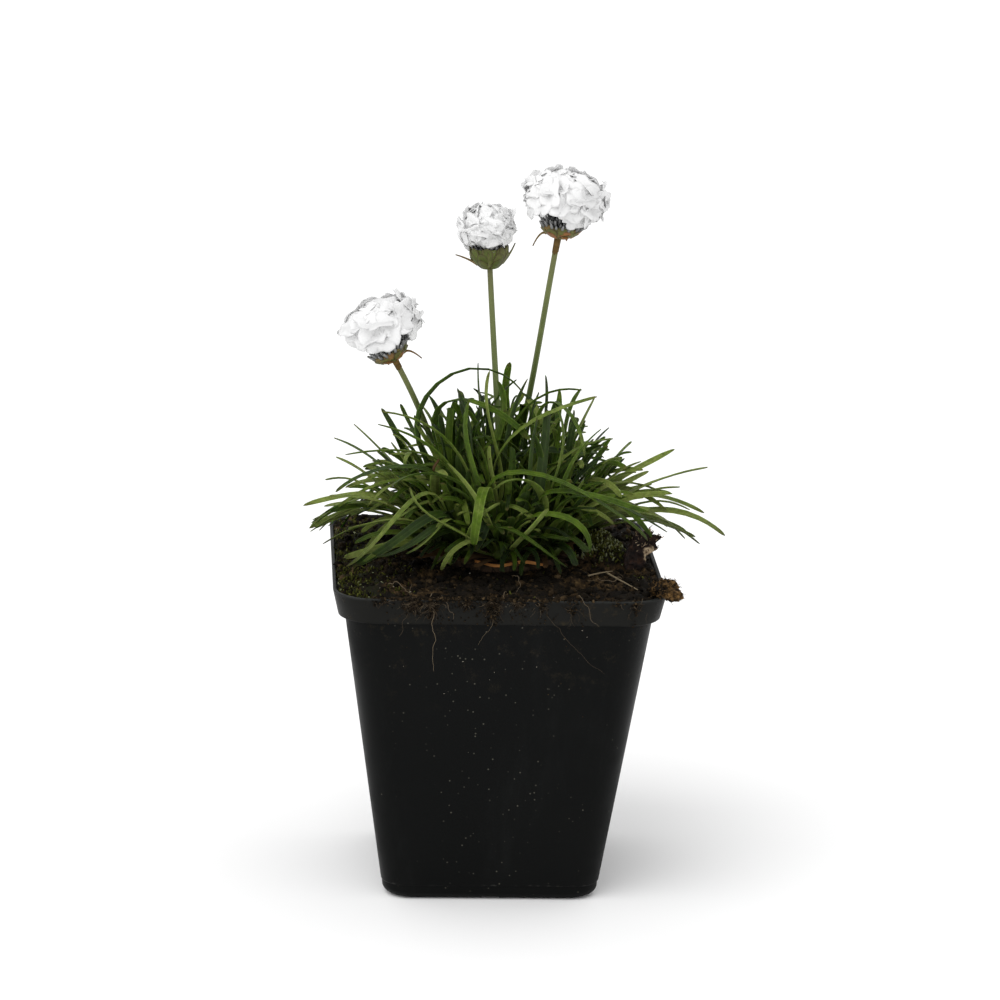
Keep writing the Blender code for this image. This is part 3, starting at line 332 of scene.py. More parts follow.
FLORET_LEAN = 0.15
FLORET_DEPTH = 1.5 * MM
BARE_RISE = -0.12  # florets lower than this are missing on the side that is bare
BARE_SHARE = 0.7
BARE_HEIGHT = 0.2 * MM  # and those lower than this over the joint, by the slope more to the sides
FLORET_SHAPES = 11  # florets that differ; the others repeat them
FLORET_PETALS = 5
CUP_ROWS = ((0.5, 0.62, 9, 3.4), (0.25, 0.62, 8, 3.4), (0.02, 0.55, 6, 3.2))  # base, height, number, width
CALYX_COUNT = 70
CALYX_LENGTH = (3.2 * MM, 4.6 * MM)
CORE_DEPTH = 2.4 * MM  # the white middle of a head lies this far in
CORE_RISE = 1.2 * MM  # and this much higher
PETAL_STEPS = 9
PETAL_THICKNESS = 0.12 * MM
PETAL_THINNESS = 0.18  # share of the light that passes through a petal
SOFT_SHADING = 0.72  # share of a head's round form in the shading of its petals
FACING_GAIN = 2.5  # how soon that share is full as a petal turns outwards

# The camera and the light, with their angles in degrees.
CAMERA_AZIMUTH = 3.5
CAMERA_HEIGHT = 14.3
CAMERA_ROLL = 1.6
CAMERA_DISTANCE = 1.1
CAMERA_LENS = 143.46  # mm, for a sensor 36 mm wide
CAMERA_TARGET = Vector((1.33 * MM, 0, 106.24 * MM))
LIGHT_FROM = Vector((-0.5, -0.55, 1.0))
LIGHT_SPREAD = 50

noise.seed_set(SEED)  # or the noise vectors, which roughen bark and fibres, would differ at each run


# Helpers for meshes


def new_piece():
    """Returns an empty bmesh whose corners carry the marks that the materials read."""
    bm = bmesh.new()
    for name in MARKS:
        bm.verts.layers.float.new(name)
    return bm


def mark(bm, verts, **values):
    """Sets marks on some corners of a bmesh."""
    for name, value in values.items():
        layer = bm.verts.layers.float[name]
        for vert in verts:
            vert[layer] = value


def sweep(bm, rings):
    """Extrudes a face through rings of points, closes the shape and returns its rows of corners."""
    face = bm.faces.new([bm.verts.new(point) for point in rings[0]])
    rows = [list(face.verts)]
    for ring in rings[1:]:
        face = bmesh.ops.extrude_discrete_faces(bm, faces=[face])["faces"][0]
        for vert, point in zip(face.verts, ring):
            vert.co = point
        rows.append(list(face.verts))
    bmesh.ops.holes_fill(bm, edges=[edge for edge in bm.edges if edge.is_boundary], sides=0)
    return rows


def as_mesh(bm, name):
    """Turns a bmesh into a mesh that can be stamped."""
    mesh = bpy.data.meshes.new(name)
    bm.to_mesh(mesh)
    bm.free()
    return mesh


def pour(into, piece):
    """Moves all of a small bmesh into a large one."""
    mesh = as_mesh(piece, "poured")
    into.from_mesh(mesh)
    bpy.data.meshes.remove(mesh)


def stamp(into, mesh, matrix, tint):
    """Adds a placed copy of a small mesh to a large bmesh."""
    first = len(into.verts)
    into.from_mesh(mesh)
    into.verts.ensure_lookup_table()
    layer = into.verts.layers.float["tint"]
    for vert in into.verts[first:]:
        vert.co = matrix @ vert.co
        vert[layer] = tint


def new_object(name, data):
    """Adds an object to the scene."""
    thing = bpy.data.objects.new(name, data)
    bpy.context.scene.collection.objects.link(thing)
    return thing


def finish_piece(name, bm, finish, node=None, crease=None):
    """Turns a bmesh into a smooth, finished piece that rides on the body and may stand for a CAD node."""
    bmesh.ops.recalc_face_normals(bm, faces=bm.faces)
    mesh = as_mesh(bm, name)
    mesh.materials.append(finish.material)
    mesh.shade_smooth()
    if crease:
        mesh.set_sharp_from_angle(angle=math.radians(crease))
    piece = new_object(name, mesh)
    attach(piece, "root")
    if node:
        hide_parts(node)
    return piece


def circle(radius, height, sides, matrix=Matrix()):
    """Returns the points of a level circle, placed by a matrix."""
    turns = [FULL_TURN * step / sides for step in range(sides)]
    return [matrix @ Vector((radius * math.cos(turn), radius * math.sin(turn), height)) for turn in turns]


def tube_rings(path, radii, sides):
    """Returns the rings of a round tube along a path, each turned from the one before it without a twist."""
    last = len(path) - 1
    along = path[1] - path[0]
    turn = UPRIGHT.rotation_difference(along)
    rings = []
    for index, radius in enumerate(radii):
        ahead = path[min(index + 1, last)] - path[max(index - 1, 0)]
        turn = along.rotation_difference(ahead) @ turn
        along = ahead
        rings.append(circle(radius, 0, sides, Matrix.Translation(path[index]) @ turn.to_matrix().to_4x4()))
    return rings


def bezier(points, share):
    """Returns the point at a share of the way along a Bezier curve."""
    while len(points) > 1:
        points = [first.lerp(second, share) for first, second in zip(points, points[1:])]
    return points[0]


def curve_points(control, steps):
    """Returns points at even shares of the way along a Bezier curve."""
    return [bezier(control, step / steps) for step in range(steps + 1)]


def curve_through(places):
    """Returns the control points of a Bezier curve that passes through four places."""
    spans = [(second - first).length for first, second in zip(places, places[1:])]
    early, late = spans[0] / sum(spans), (spans[0] + spans[1]) / sum(spans)
    weights = [(3 * (1 - share) ** 2 * share, 3 * (1 - share) * share ** 2) for share in (early, late)]
    rests = [place - places[0] * (1 - share) ** 3 - places[3] * share ** 3
             for place, share in zip(places[1:3], (early, late))]
    size = weights[0][0] * weights[1][1] - weights[1][0] * weights[0][1]
    second = (rests[0] * weights[1][1] - rests[1] * weights[0][1]) / size
    third = (rests[1] * weights[0][0] - rests[0] * weights[1][0]) / size
    return [places[0], second, third, places[3]]


def tree_of(thing):
    """Returns a search tree over an object's faces."""
    points = [vert.co.copy() for vert in thing.data.vertices]
    return BVHTree.FromPolygons(points, [tuple(face.vertices) for face in thing.data.polygons])


def tree_of_rings(rings):
    """Returns a search tree over the surface that a sweep through these rings would have."""
    sides = len(rings[0])
    points = [point for ring in rings for point in ring]
    faces = [tuple(range(sides)), tuple(range(len(points) - sides, len(points)))]
    for row in range(len(rings) - 1):
        for side in range(sides):
            near = row * sides + side
            far = row * sides + (side + 1) % sides
            faces.append((near, far, far + sides, near + sides))
    return BVHTree.FromPolygons(points, faces)


def stray(rng, reach):
    """Returns a random step, at most this far along each axis."""
    return Vector([rng.uniform(-reach, reach) for axis in range(3)])


def spin_about(rng):
    """Returns a random turn."""
    axis = stray(rng, 1).normalized()
    return Matrix.Rotation(rng.uniform(0, FULL_TURN), 4, axis)


def heading(turn):
    """Returns the level direction at a turn from +X."""
    return Vector((math.cos(turn), math.sin(turn), 0))


def apart(x, y, centre):
    """Returns how far a place is from a centre, seen from above."""
    return (Vector((x, y, 0)) - centre).length


# Helpers for materials


class Finish:
    """A Principled material, with short calls that add the nodes of its pattern, relief and thinness."""

    def __init__(self, name, colour, roughness, gloss, **sockets):
        self.material = bpy.data.materials.new(name)
        self.material.use_nodes = True
        self.tree = self.material.node_tree
        self.shader = self.tree.nodes["Principled BSDF"]
        self.shader.inputs["Base Color"].default_value = (*colour, 1.0)
        self.shader.inputs["Roughness"].default_value = roughness
        self.shader.inputs["Specular IOR Level"].default_value = gloss
        self.material.diffuse_color = (*colour, 1.0)
        for socket, value in sockets.items():
            self.shader.inputs[socket.replace("_", " ")].default_value = value
        self.place = self.tree.nodes.new("ShaderNodeTexCoord").outputs["Object"]

    def node(self, kind, inputs, **settings):
        """Adds a node, with values or links for its inputs."""
        made = self.tree.nodes.new("ShaderNode" + kind)
        for name, value in settings.items():
            setattr(made, name, value)
        for socket, value in inputs.items():
            if isinstance(value, bpy.types.NodeSocket):
                self.tree.links.new(value, made.inputs[socket])
            else:
                made.inputs[socket].default_value = value
        return made

    def noise(self, scale, detail=3.0, roughness=0.6, vector=None):
        """Returns a cloudy pattern from 0 to 1, with its scale in cells to the metre."""
        return self.node("TexNoise", {"Vector": vector or self.place, "Scale": scale, "Detail": detail,
                                      "Roughness": roughness}).outputs["Fac"]

    def patches(self, low, high, *noise):
        """Returns patches where a cloudy pattern is high, with a smooth edge between low and high."""
        return self.span(self.noise(*noise), low, high)

    def cells(self, scale, feature="F1", vector=None):
        """Returns the distances of a cell pattern."""
        inputs = {"Vector": vector or self.place, "Scale": scale}
        return self.node("TexVoronoi", inputs, feature=feature).outputs["Distance"]

    def stretched(self, x, y, z):
        """Returns the place, scaled along each axis."""
        return self.node("Mapping", {"Vector": self.place, "Scale": (x, y, z)}).outputs["Vector"]

    def mark(self, name):
        """Returns a number that the mesh carries."""
        return self.node("Attribute", {}, attribute_name=name).outputs["Fac"]

    def axis(self, name):
        """Returns one coordinate of the place, in metres."""
        return self.node("SeparateXYZ", {"Vector": self.place}).outputs[name]

    def maths(self, operation, first, second=0.0, clamp=False):
        """Returns what a maths operation makes of numbers or sockets."""
        inputs = {0: first, 1: second}
        return self.node("Math", inputs, operation=operation, use_clamp=clamp).outputs["Value"]

    def times(self, first, second, clamp=False):
        """Returns a product."""
        return self.maths("MULTIPLY", first, second, clamp)

    def plus(self, first, second):
        """Returns a sum."""
        return self.maths("ADD", first, second)

    def vector(self, operation, inputs, output="Vector"):
        """Returns what a vector operation makes of its inputs."""
        return self.node("VectorMath", inputs, operation=operation).outputs[output]

    def span(self, value, low, high):
        """Returns 0 where a value is low and 1 where it is high, with a smooth rise between."""
        inputs = {"Value": value, "From Min": low, "From Max": high}
        return self.node("MapRange", inputs, interpolation_type="SMOOTHSTEP").outputs["Result"]

    def ramp(self, value, *stops):
        """Returns the colours of a ramp: stops are pairs of a place and a colour."""
        made = self.node("ValToRGB", {"Fac": value})
        points = made.color_ramp.elements
        while len(points) < len(stops):
            points.new(0.5)
        for point, (place, colour) in zip(points, stops):
            point.position = place
            point.color = (*colour, 1.0)
        return made.outputs["Color"]

    def blend(self, share, first, second):
        """Returns a blend of two colours."""
        first = first if isinstance(first, bpy.types.NodeSocket) else (*first, 1.0)
        second = second if isinstance(second, bpy.types.NodeSocket) else (*second, 1.0)
        return self.node("Mix", {0: share, 6: first, 7: second}, data_type="RGBA").outputs[2]

    def over(self, below, share, strength, colour):
        """Returns a colour with another over it, at most as strong as this, where a share is high."""
        return self.blend(self.times(share, strength), below, colour)

    def scaled(self, colour, factor):
        """Returns a colour made darker or brighter by a number from a socket."""
        grey = self.node("CombineColor", {0: factor, 1: factor, 2: factor}).outputs["Color"]
        inputs = {0: 1.0, 6: colour, 7: grey}
        return self.node("Mix", inputs, data_type="RGBA", blend_type="MULTIPLY").outputs[2]

    def coloured(self, colour):
        """Gives the surface its colour."""
        self.tree.links.new(colour, self.shader.inputs["Base Color"])

    def roughened(self, value, low, high):
        """Lets the roughness run from low to high with a value."""
        made = self.node("MapRange", {"Value": value, "To Min": low, "To Max": high})
        self.tree.links.new(made.outputs["Result"], self.shader.inputs["Roughness"])

    def thinned(self, share, colour):
        """Lets a share of the light pass through, as a thin sheet does."""
        sheet = self.node("BsdfTranslucent", {"Color": colour})
        both = self.node("MixShader", {0: share, 1: self.shader.outputs["BSDF"], 2: sheet.outputs["BSDF"]})
        self.tree.links.new(both.outputs["Shader"], self.tree.nodes["Material Output"].inputs["Surface"])

    def bumped(self, height, distance, strength=1.0):
        """Gives the surface a fine relief."""
        made = self.node("Bump", {"Height": height, "Distance": distance, "Strength": strength})
        self.tree.links.new(made.outputs["Normal"], self.shader.inputs["Normal"])


def black_plastic(colour, dust):
    """Moulded black plastic: grain, scuffs, dust, dried peat near the rim, pale specks, a painted highlight
    on the rim's top edge and a pale line on the foot step, part wear and part painted highlight.
    """
    look = Finish("black_plastic", colour, 0.5, 0.06)
    up = look.axis("Z")
    grain = look.noise(2600, 2.0)
    scuffs = look.patches(0.5, 0.74, 55, 6.0, 0.72, look.stretched(1, 1, 0.22))
    film = look.patches(0.42, 0.75, 24, 5.0, 0.65)
    near_rim = look.span(up, 52 * MM, 88 * MM)
    dried = look.times(look.patches(0.54, 0.68, 170, 7.0, 0.85), near_rim)
    specks = look.span(look.cells(520), 0.15, 0.08)
    band = look.span(look.maths("ABSOLUTE", look.axis("X")), 34 * MM, 4 * MM)
    sparse = look.plus(look.noise(90, 3.0, 0.7), look.times(band, 0.13))
    specks = look.times(specks, look.span(sparse, 0.56, 0.68))
    shade = look.over(colour, film, dust, (0.006, 0.0063, 0.006))
    shade = look.over(shade, scuffs, 0.3, (0.0105, 0.0112, 0.0112))
    shade = look.blend(look.span(up, 82.0 * MM, 83.5 * MM), shade, (0.009, 0.009, 0.008))
    shade = look.over(shade, dried, 0.7, (0.03, 0.024, 0.014))
    # A pale line along the foot step, broken into patches: partly wear, partly a painted highlight on the
    # step's edge.
    off_step = look.maths("ABSOLUTE", look.maths("SUBTRACT", up, FOOT_HEIGHT))
    step_highlight_and_wear = look.span(off_step, 0.5 * MM, 0.1 * MM)
    step_highlight_and_wear = look.times(step_highlight_and_wear, look.patches(0.5, 0.62, 600, 5.0, 0.8))
    step_highlight_and_wear = look.times(step_highlight_and_wear, look.patches(0.42, 0.6, 75))
    shade = look.over(shade, step_highlight_and_wear, 0.7, (0.045, 0.044, 0.04))
    # A painted highlight: a pale line along the top edge of the rim.
    shade = look.blend(look.span(up, 89.3 * MM, 90.0 * MM), shade, (0.019, 0.02, 0.019))
    look.coloured(look.over(shade, specks, 0.6, (0.1, 0.095, 0.075)))
    look.roughened(look.maths("MAXIMUM", film, dried), 0.4, 0.72)
    look.bumped(look.plus(look.times(grain, 0.25), look.times(dried, 1.2)), 0.06 * MM)
    return look


def peat():
    """Moist dark peat: brown fibres among near black crumbs, pale flecks and a green film by the moss."""
    look = Finish("peat", (0.01, 0.008, 0.0055), 0.85, 0.08)
    lumps = look.noise(420, 6.0, 0.7)
    patches = look.noise(90, 4.0)
    fibres = look.noise(900, 4.0, 0.7, look.stretched(1, 0.25, 1))
    shade = look.ramp(lumps, (0.34, (0.0026, 0.0021, 0.0015)), (0.55, (0.0075, 0.0056, 0.0036)),
                      (0.78, (0.024, 0.016, 0.008)))
    brown = look.ramp(fibres, (0.38, (0.008, 0.005, 0.0025)), (0.56, (0.036, 0.022, 0.009)),
                      (0.76, (0.13, 0.085, 0.036)))
    beside = look.times(look.span(look.maths("ABSOLUTE", look.axis("X")), 2 * MM, 26 * MM), 0.07)
    shade = look.blend(look.span(look.plus(patches, beside), 0.55, 0.64), shade, brown)
    left = look.span(look.axis("X"), -24 * MM, -40 * MM)
    film = look.times(left, look.patches(0.42, 0.62, 260, 4.0))
    shade = look.over(shade, film, 0.6, (0.02, 0.026, 0.006))
    flecks = look.span(look.cells(420), 0.11, 0.07)
    flecks = look.times(flecks, look.patches(0.58, 0.66, 150, 2.0))
    look.coloured(look.over(shade, flecks, 0.8, (0.22, 0.19, 0.14)))
    look.roughened(lumps, 0.6, 0.95)
    look.bumped(look.noise(1500, 5.0, 0.75), 0.35 * MM)
    return look


def crumb_finish():
    """Loose crumbs: their mark runs from black peat through brown fibre to pale grit."""
    look = Finish("peat_crumbs", (0.012, 0.009, 0.006), 0.85, 0.06)
    shade = look.ramp(look.mark("tint"), (0.0, (0.0045, 0.0036, 0.0024)),
                      (0.45, (0.013, 0.0095, 0.0055)), (0.75, (0.045, 0.029, 0.014)),
                      (0.9, (0.09, 0.06, 0.03)), (0.97, (0.3, 0.27, 0.22)))
    look.coloured(look.scaled(shade, look.patches(0.15, 0.75, 1300, 4.0)))
    look.bumped(look.noise(2600, 3.0), 0.12 * MM)
    return look


def moss_finish():
    """Moss: dark at the foot of each shoot and brighter at its tip, from olive to yellow green."""
    look = Finish("moss", (0.04, 0.05, 0.012), 0.8, 0.05)
    shade = look.ramp(look.mark("tint"), (0.0, (0.014, 0.015, 0.003)), (0.5, (0.046, 0.05, 0.008)),
                      (0.8, (0.105, 0.11, 0.022)), (1.0, (0.24, 0.26, 0.15)))
    tip = look.span(look.mark("along"), 0.0, 1.0)
    look.coloured(look.blend(tip, look.scaled(shade, 0.35), shade))
    return look


def rootstock_finish():
    """The rootstock's bark: long fibres in three browns, with dark cracks."""
    dark, mid, pale = (0.012, 0.008, 0.005), (0.05, 0.03, 0.017), (0.12, 0.08, 0.045)
    look = Finish("rootstock_bark", mid, 0.85, 0.2)
    grain = look.noise(380, 6.0, 0.7, look.stretched(1, 1, 0.25))
    cracks = look.cells(300, "DISTANCE_TO_EDGE", look.stretched(1, 1, 0.3))
    shade = look.ramp(grain, (0.3, dark), (0.55, mid), (0.85, pale))
    look.coloured(look.blend(look.span(cracks, 0.1, 0.0), shade, dark))
    look.bumped(look.plus(grain, cracks), 0.3 * MM)
    return look


def flake_finish():
    """The bark flake: dark red brown, with a torn beige edge."""
    look = Finish("bark_flake", (0.05, 0.02, 0.011), 0.85, 0.2)
    grain = look.noise(500, 6.0, 0.7)
    shade = look.ramp(grain, (0.38, (0.004, 0.0025, 0.002)), (0.55, (0.014, 0.0065, 0.0045)),
                      (0.78, (0.075, 0.036, 0.017)))
    torn = look.plus(look.mark("tint"), look.times(look.noise(420, 4.0), 0.9))
    cream = look.ramp(look.noise(900, 4.0, 0.7), (0.35, (0.09, 0.055, 0.03)), (0.58, (0.44, 0.34, 0.22)))
    look.coloured(look.blend(look.span(torn, 1.0, 1.35), shade, cream))
    look.bumped(look.noise(1100, 5.0, 0.7), 0.4 * MM)
    return look


def leaf_finish():
    """Leaves: a tint for each, which also holds painted light and shade, pale midrib, margins and sheaths,
    fine lengthwise veins, brown tips, and painted shade low in the tuft.
    """
    look = Finish("leaf_green", (0.05, 0.09, 0.018), 0.5, 0.08, Subsurface_Weight=0.2,
                  Subsurface_Radius=(0.5, 1.0, 0.2), Subsurface_Scale=1.0 * MM)
    tint, along, across = look.mark("tint"), look.mark("along"), look.mark("across")
    cloud = look.noise(130, 5.0, 0.7)
    tone = look.plus(tint, look.times(look.maths("SUBTRACT", cloud, 0.5), 1.1))
    shade = look.ramp(tone, (0.0, (0.014, 0.027, 0.007)), (0.3, (0.026, 0.051, 0.004)),
                      (0.6, (0.058, 0.1, 0.006)), (1.0, (0.165, 0.206, 0.046)))
    grit = look.times(look.noise(800, 4.0, 0.7), 1.6)
    shade = look.scaled(shade, look.plus(grit, 0.2))
    edge = look.maths("ABSOLUTE", across)
    rib = look.span(edge, 0.16, 0.0)
    margin = look.span(edge, 0.74, 1.0)
    pale = look.blend(0.3, look.scaled(shade, 2.0), (0.17, 0.19, 0.09))
    lines = look.maths("MAXIMUM", look.times(rib, 0.35), look.times(margin, 0.6))
    shade = look.blend(lines, shade, pale)
    shade = look.over(shade, look.mark("under"), 0.25, (0.06, 0.09, 0.028))
    shade = look.over(shade, look.span(along, 0.2, 0.0), 0.7, (0.085, 0.115, 0.03))
    tip = look.times(look.span(along, 0.93, 1.0), look.span(cloud, 0.4, 0.62))
    shade = look.over(shade, tip, 0.7, (0.11, 0.085, 0.03))
    # Painted shade: leaves are darkened the lower they lie in the tuft.
    low = look.span(look.axis("Z"), 91 * MM, 112 * MM)
    look.coloured(look.scaled(shade, look.plus(look.times(low, 0.65), 0.35)))
    veins = look.maths("SINE", look.times(across, 26.0))
    look.bumped(look.plus(veins, look.noise(1200, 3.0)), 0.035 * MM)
    look.roughened(cloud, 0.34, 0.55)
    return look


def dry_finish(name, dark, pale, mottle=0.6):
    """Dry plant tissue: a tint for each piece, mottled between a dark and a pale colour."""
    look = Finish(name, pale, 0.8, 0.08)
    fibre = look.noise(700, 4.0, 0.7)
    tone = look.plus(look.mark("tint"), look.times(fibre, mottle))
    look.coloured(look.blend(look.span(tone, 0.2, 1.3), dark, pale))
    look.bumped(fibre, 0.12 * MM)
    return look


def stem_finish():
    """Flower stems: olive green with fine ridges, darker at the foot and browner under the head."""
    look = Finish("stem_green", (0.11, 0.14, 0.045), 0.5, 0.3)
    cloud = look.noise(220, 4.0, 0.6, look.stretched(1, 1, 0.3))
    shade = look.ramp(look.mark("along"), (0.0, (0.05, 0.075, 0.02)), (0.45, (0.095, 0.13, 0.036)),
                      (0.85, (0.13, 0.15, 0.05)), (1.0, (0.12, 0.115, 0.045)))
    look.coloured(look.scaled(shade, look.plus(cloud, 0.5)))
    look.bumped(look.noise(2200, 3.0, 0.6, look.stretched(1, 1, 0.15)), 0.06 * MM)
    return look


def bract_finish():
    """Bracts: a tint for each from green to rust, with brown edges and tips."""
    look = Finish("bract_green", (0.09, 0.1, 0.04), 0.6, 0.25)
    tint, along = look.mark("tint"), look.mark("along")
    cloud = look.noise(500, 4.0, 0.65)
    body = look.ramp(tint, (0.0, (0.075, 0.095, 0.016)), (0.45, (0.125, 0.125, 0.034)),
                     (0.7, (0.22, 0.12, 0.04)), (1.0, (0.3, 0.11, 0.035)))
    body = look.scaled(body, look.plus(cloud, 0.45))
    edge = look.span(look.maths("ABSOLUTE", look.mark("across")), 0.62, 1.0)
    tip = look.span(along, 0.62, 1.0)
    brown = look.maths("MAXIMUM", look.times(edge, 0.75), look.times(tip, 0.6))
    look.coloured(look.blend(brown, body, (0.06, 0.04, 0.022)))
    look.bumped(look.noise(1500, 3.0), 0.05 * MM)
    return look


def petal_finish(name, middle):
    """Petals: papery white, with painted shade in grey clouds, towards each petal's base, along its rims and
    in some throats; shaded softly, as light that passes through a whole head does.
    """
    look = Finish(name, (0.93, 0.93, 0.93), 0.85, 0.04)
    along, across, tint = look.mark("along"), look.mark("across"), look.mark("tint")
    # Painted shade: soft grey clouds over the white petals.
    cloud = look.noise(190, 4.0)
    shade = look.over((0.95, 0.95, 0.95), look.span(cloud, 0.42, 0.72), 0.5, (0.74, 0.74, 0.74))
    # Painted shade: each petal greyer towards its base, deep in the floret.
    shade = look.over(shade, look.span(along, 0.6, 0.1), 0.4, (0.68, 0.68, 0.68))
    # Painted shade: thin grey lines along the petals' rims.
    sides = look.span(look.maths("ABSOLUTE", across), 0.82, 1.0)
    rim = look.maths("MAXIMUM", look.span(along, 0.9, 1.0), sides)
    shade = look.over(shade, look.times(rim, look.span(along, 0.45, 0.8)), 0.25, (0.62, 0.62, 0.62))
    # Painted shade: a dark grey throat deep in some florets.
    painted_throat_shade = look.times(look.span(along, 0.34, 0.04), look.span(tint, 0.55, 0.95))
    look.coloured(look.over(shade, painted_throat_shade, 0.7, (0.32, 0.32, 0.31)))
    outward = look.vector("SUBTRACT", {0: look.place, 1: middle})
    outward = look.vector("NORMALIZE", {0: outward})
    own = look.node("NewGeometry", {}).outputs["Normal"]
    facing = look.vector("DOT_PRODUCT", {0: own, 1: outward}, "Value")
    facing = look.times(facing, FACING_GAIN, clamp=True)
    outward = look.vector("SCALE", {0: outward, "Scale": facing})
    both = look.node("Mix", {0: SOFT_SHADING, 4: own, 5: outward}, data_type="VECTOR").outputs[1]
    look.tree.links.new(look.vector("NORMALIZE", {0: both}), look.shader.inputs["Normal"])
    look.thinned(PETAL_THINNESS, (0.98, 0.98, 0.98, 1.0))
    return look


def calyx_finish():
    """Calyx tubes: mottled grey, with painted shade that makes them dark at the foot, deep in the cup."""
    look = Finish("calyx", (0.1, 0.11, 0.09), 0.7, 0.2)
    shade = look.ramp(look.mark("along"), (0.0, (0.05, 0.055, 0.042)), (0.3, (0.14, 0.145, 0.14)),
                      (0.6, (0.34, 0.34, 0.34)))
    look.coloured(look.scaled(shade, look.plus(look.noise(900, 3.0), 0.4)))
    look.bumped(look.noise(1800, 3.0), 0.08 * MM)
    return look


# The pot


def square_ring(half, height):
    """Returns the points of a square with round corners."""
    corner = CORNER_SHARE * half
    inner = half - corner
    points = []
    for quarter in range(4):
        middle = Matrix.Rotation(quarter * math.pi / 2, 3, "Z") @ Vector((inner, inner, 0))
        for step in range(CORNER_STEPS + 1):
            turn = (quarter + step / CORNER_STEPS) * math.pi / 2
            points.append(middle + Vector((corner * math.cos(turn), corner * math.sin(turn), height)))
    return points


def pot_outside():
    """Returns the half widths and heights of the pot's outer face, from the foot up to the rim."""
    foot = []
    for turn in range(0, 91, 15):
        across, up = math.sin(math.radians(turn)), math.cos(math.radians(turn))
        foot.append((BASE_HALF - FOOT_ROUND * (1 - across), FOOT_ROUND * (1 - up)))
    return foot + [
        (BASE_HALF, FOOT_HEIGHT - FOOT_STEP),
        (BASE_HALF + FOOT_STEP, FOOT_HEIGHT),
        (BODY_TOP_HALF, POT_HEIGHT - COLLAR_HEIGHT - FOOT_STEP),
        (COLLAR_HALF, POT_HEIGHT - COLLAR_HEIGHT),
        (RIM_HALF, POT_HEIGHT),
    ]


def pot_inside():
    """Returns the half widths and heights of the pot's inner face, from the floor up to the rim."""
    return [
        (BASE_HALF - FOOT_ROUND, FLOOR),
        (BASE_HALF - WALL, FLOOR + FOOT_ROUND - WALL),
        (BODY_TOP_HALF - WALL, POT_HEIGHT - COLLAR_HEIGHT + WALL - FOOT_STEP),
        (COLLAR_HALF - WALL, POT_HEIGHT - COLLAR_HEIGHT + WALL),
        (RIM_HALF - WALL, POT_HEIGHT),
    ]


def round_levels(bm, levels, radius):
    """Rounds the level edges of a swept shape at some heights."""
    found = [edge for edge in bm.edges
             if any(all(abs(vert.co.z - level) < 0.01 * MM for vert in edge.verts) for level in levels)
             and edge.calc_face_angle(0.0) > 0.2]
    bmesh.ops.bevel(bm, geom=found, offset=radius, affect="EDGES", segments=3, profile=0.5, material=-1)


def cut_holes(pot):
    """Cuts the drain holes and the vents of the foot."""
    drains = bmesh.new()
    for step in range(8):
        turn = step * math.pi / 4
        reach = DRAIN_REACH * (math.sqrt(2) if step % 2 else 1.0)
        place = Matrix.Translation((reach * math.cos(turn), reach * math.sin(turn), FLOOR / 2))
        bmesh.ops.create_cone(drains, cap_ends=True, segments=32, radius1=DRAIN_RADIUS,
                              radius2=DRAIN_RADIUS, depth=2 * FLOOR, matrix=place)
    length = BASE_HALF + WALL - VENT_START
    vents = bmesh.new()
    for step in range(4):
        turn = Matrix.Rotation(step * math.pi / 2, 4, "Z")
        place = Matrix.Translation((VENT_START + length / 2, 0, 0))
        size = Matrix.Diagonal((length, VENT_WIDTH, 2 * VENT_HEIGHT, 1.0))
        bmesh.ops.create_cube(vents, size=1.0, matrix=turn @ place @ size)
    for name, bm in (("drains", drains), ("vents", vents)):
        tool = new_object(name, as_mesh(bm, name))
        difference = pot.modifiers.new(name, "BOOLEAN")
        difference.operation = "DIFFERENCE"
        difference.object = tool
        view = bpy.context.evaluated_depsgraph_get()
        made = bpy.data.meshes.new_from_object(pot.evaluated_get(view))
        pot.modifiers.clear()
        pot.data = made
        bpy.data.objects.remove(tool, do_unlink=True)


def make_pot(settings):
    """The pot: a thin square moulding with round corners, a collar, a foot step, drain holes and vents."""
    bm = bmesh.new()
    sweep(bm, [square_ring(half, height) for half, height in pot_outside() + pot_inside()[::-1]])
    under_collar = POT_HEIGHT - COLLAR_HEIGHT
    round_levels(bm, (POT_HEIGHT, under_collar), EDGE_ROUND)
    round_levels(bm, (FOOT_HEIGHT, FOOT_HEIGHT - FOOT_STEP, under_collar - FOOT_STEP), STEP_ROUND)
    finish = black_plastic(settings.colour, settings.dust)
    pot = finish_piece("square_pot", bm, finish, "pot")
    cut_holes(pot)
    pot.data.shade_smooth()
    pot.data.set_sharp_from_angle(angle=math.radians(35))


# The soil


def soil_height(x, y):
    """Returns the height of the soil's relief at a place in the pot."""
    edge = min(max(abs(x), abs(y)) / RIM_HALF, 1.0)
    hump = SOIL_HUMP * (1 - edge * edge * (3 - 2 * edge))
    out = apart(x, y, LUMP_CENTRE) / LUMP_RADIUS
    lump = LUMP_HEIGHT * math.exp(-out * out)
    grains = GRAIN_HEIGHT * noise.fractal(Vector((x, y, 0)) / GRAIN_SIZE, 0.7, 2.2, 3) * (1 - edge ** 8)
    return SOIL_EDGE + hump + lump + grains


def crumb_height(x, y):
    """Returns what the crumb adds to the soil's relief."""
    spot = Vector((x, y, 0)) / CRUMB_SIZE
    return CRUMB_RELIEF * (noise.noise(spot) + 0.55 * noise.noise(spot * 2.3 + Vector((9, 4, 2))))


def square_reach(half, corner, turn):
    """Returns how far a ray from the middle of a round-cornered square runs to its outline."""
    across, along = sorted((abs(math.cos(turn)), abs(math.sin(turn))))
    if half * across / along <= half - corner:
        return half / along
    inner = half - corner
    nearest = inner * (across + along)
    return nearest + math.sqrt(max(nearest * nearest - (2 * inner * inner - corner * corner), 0.0))


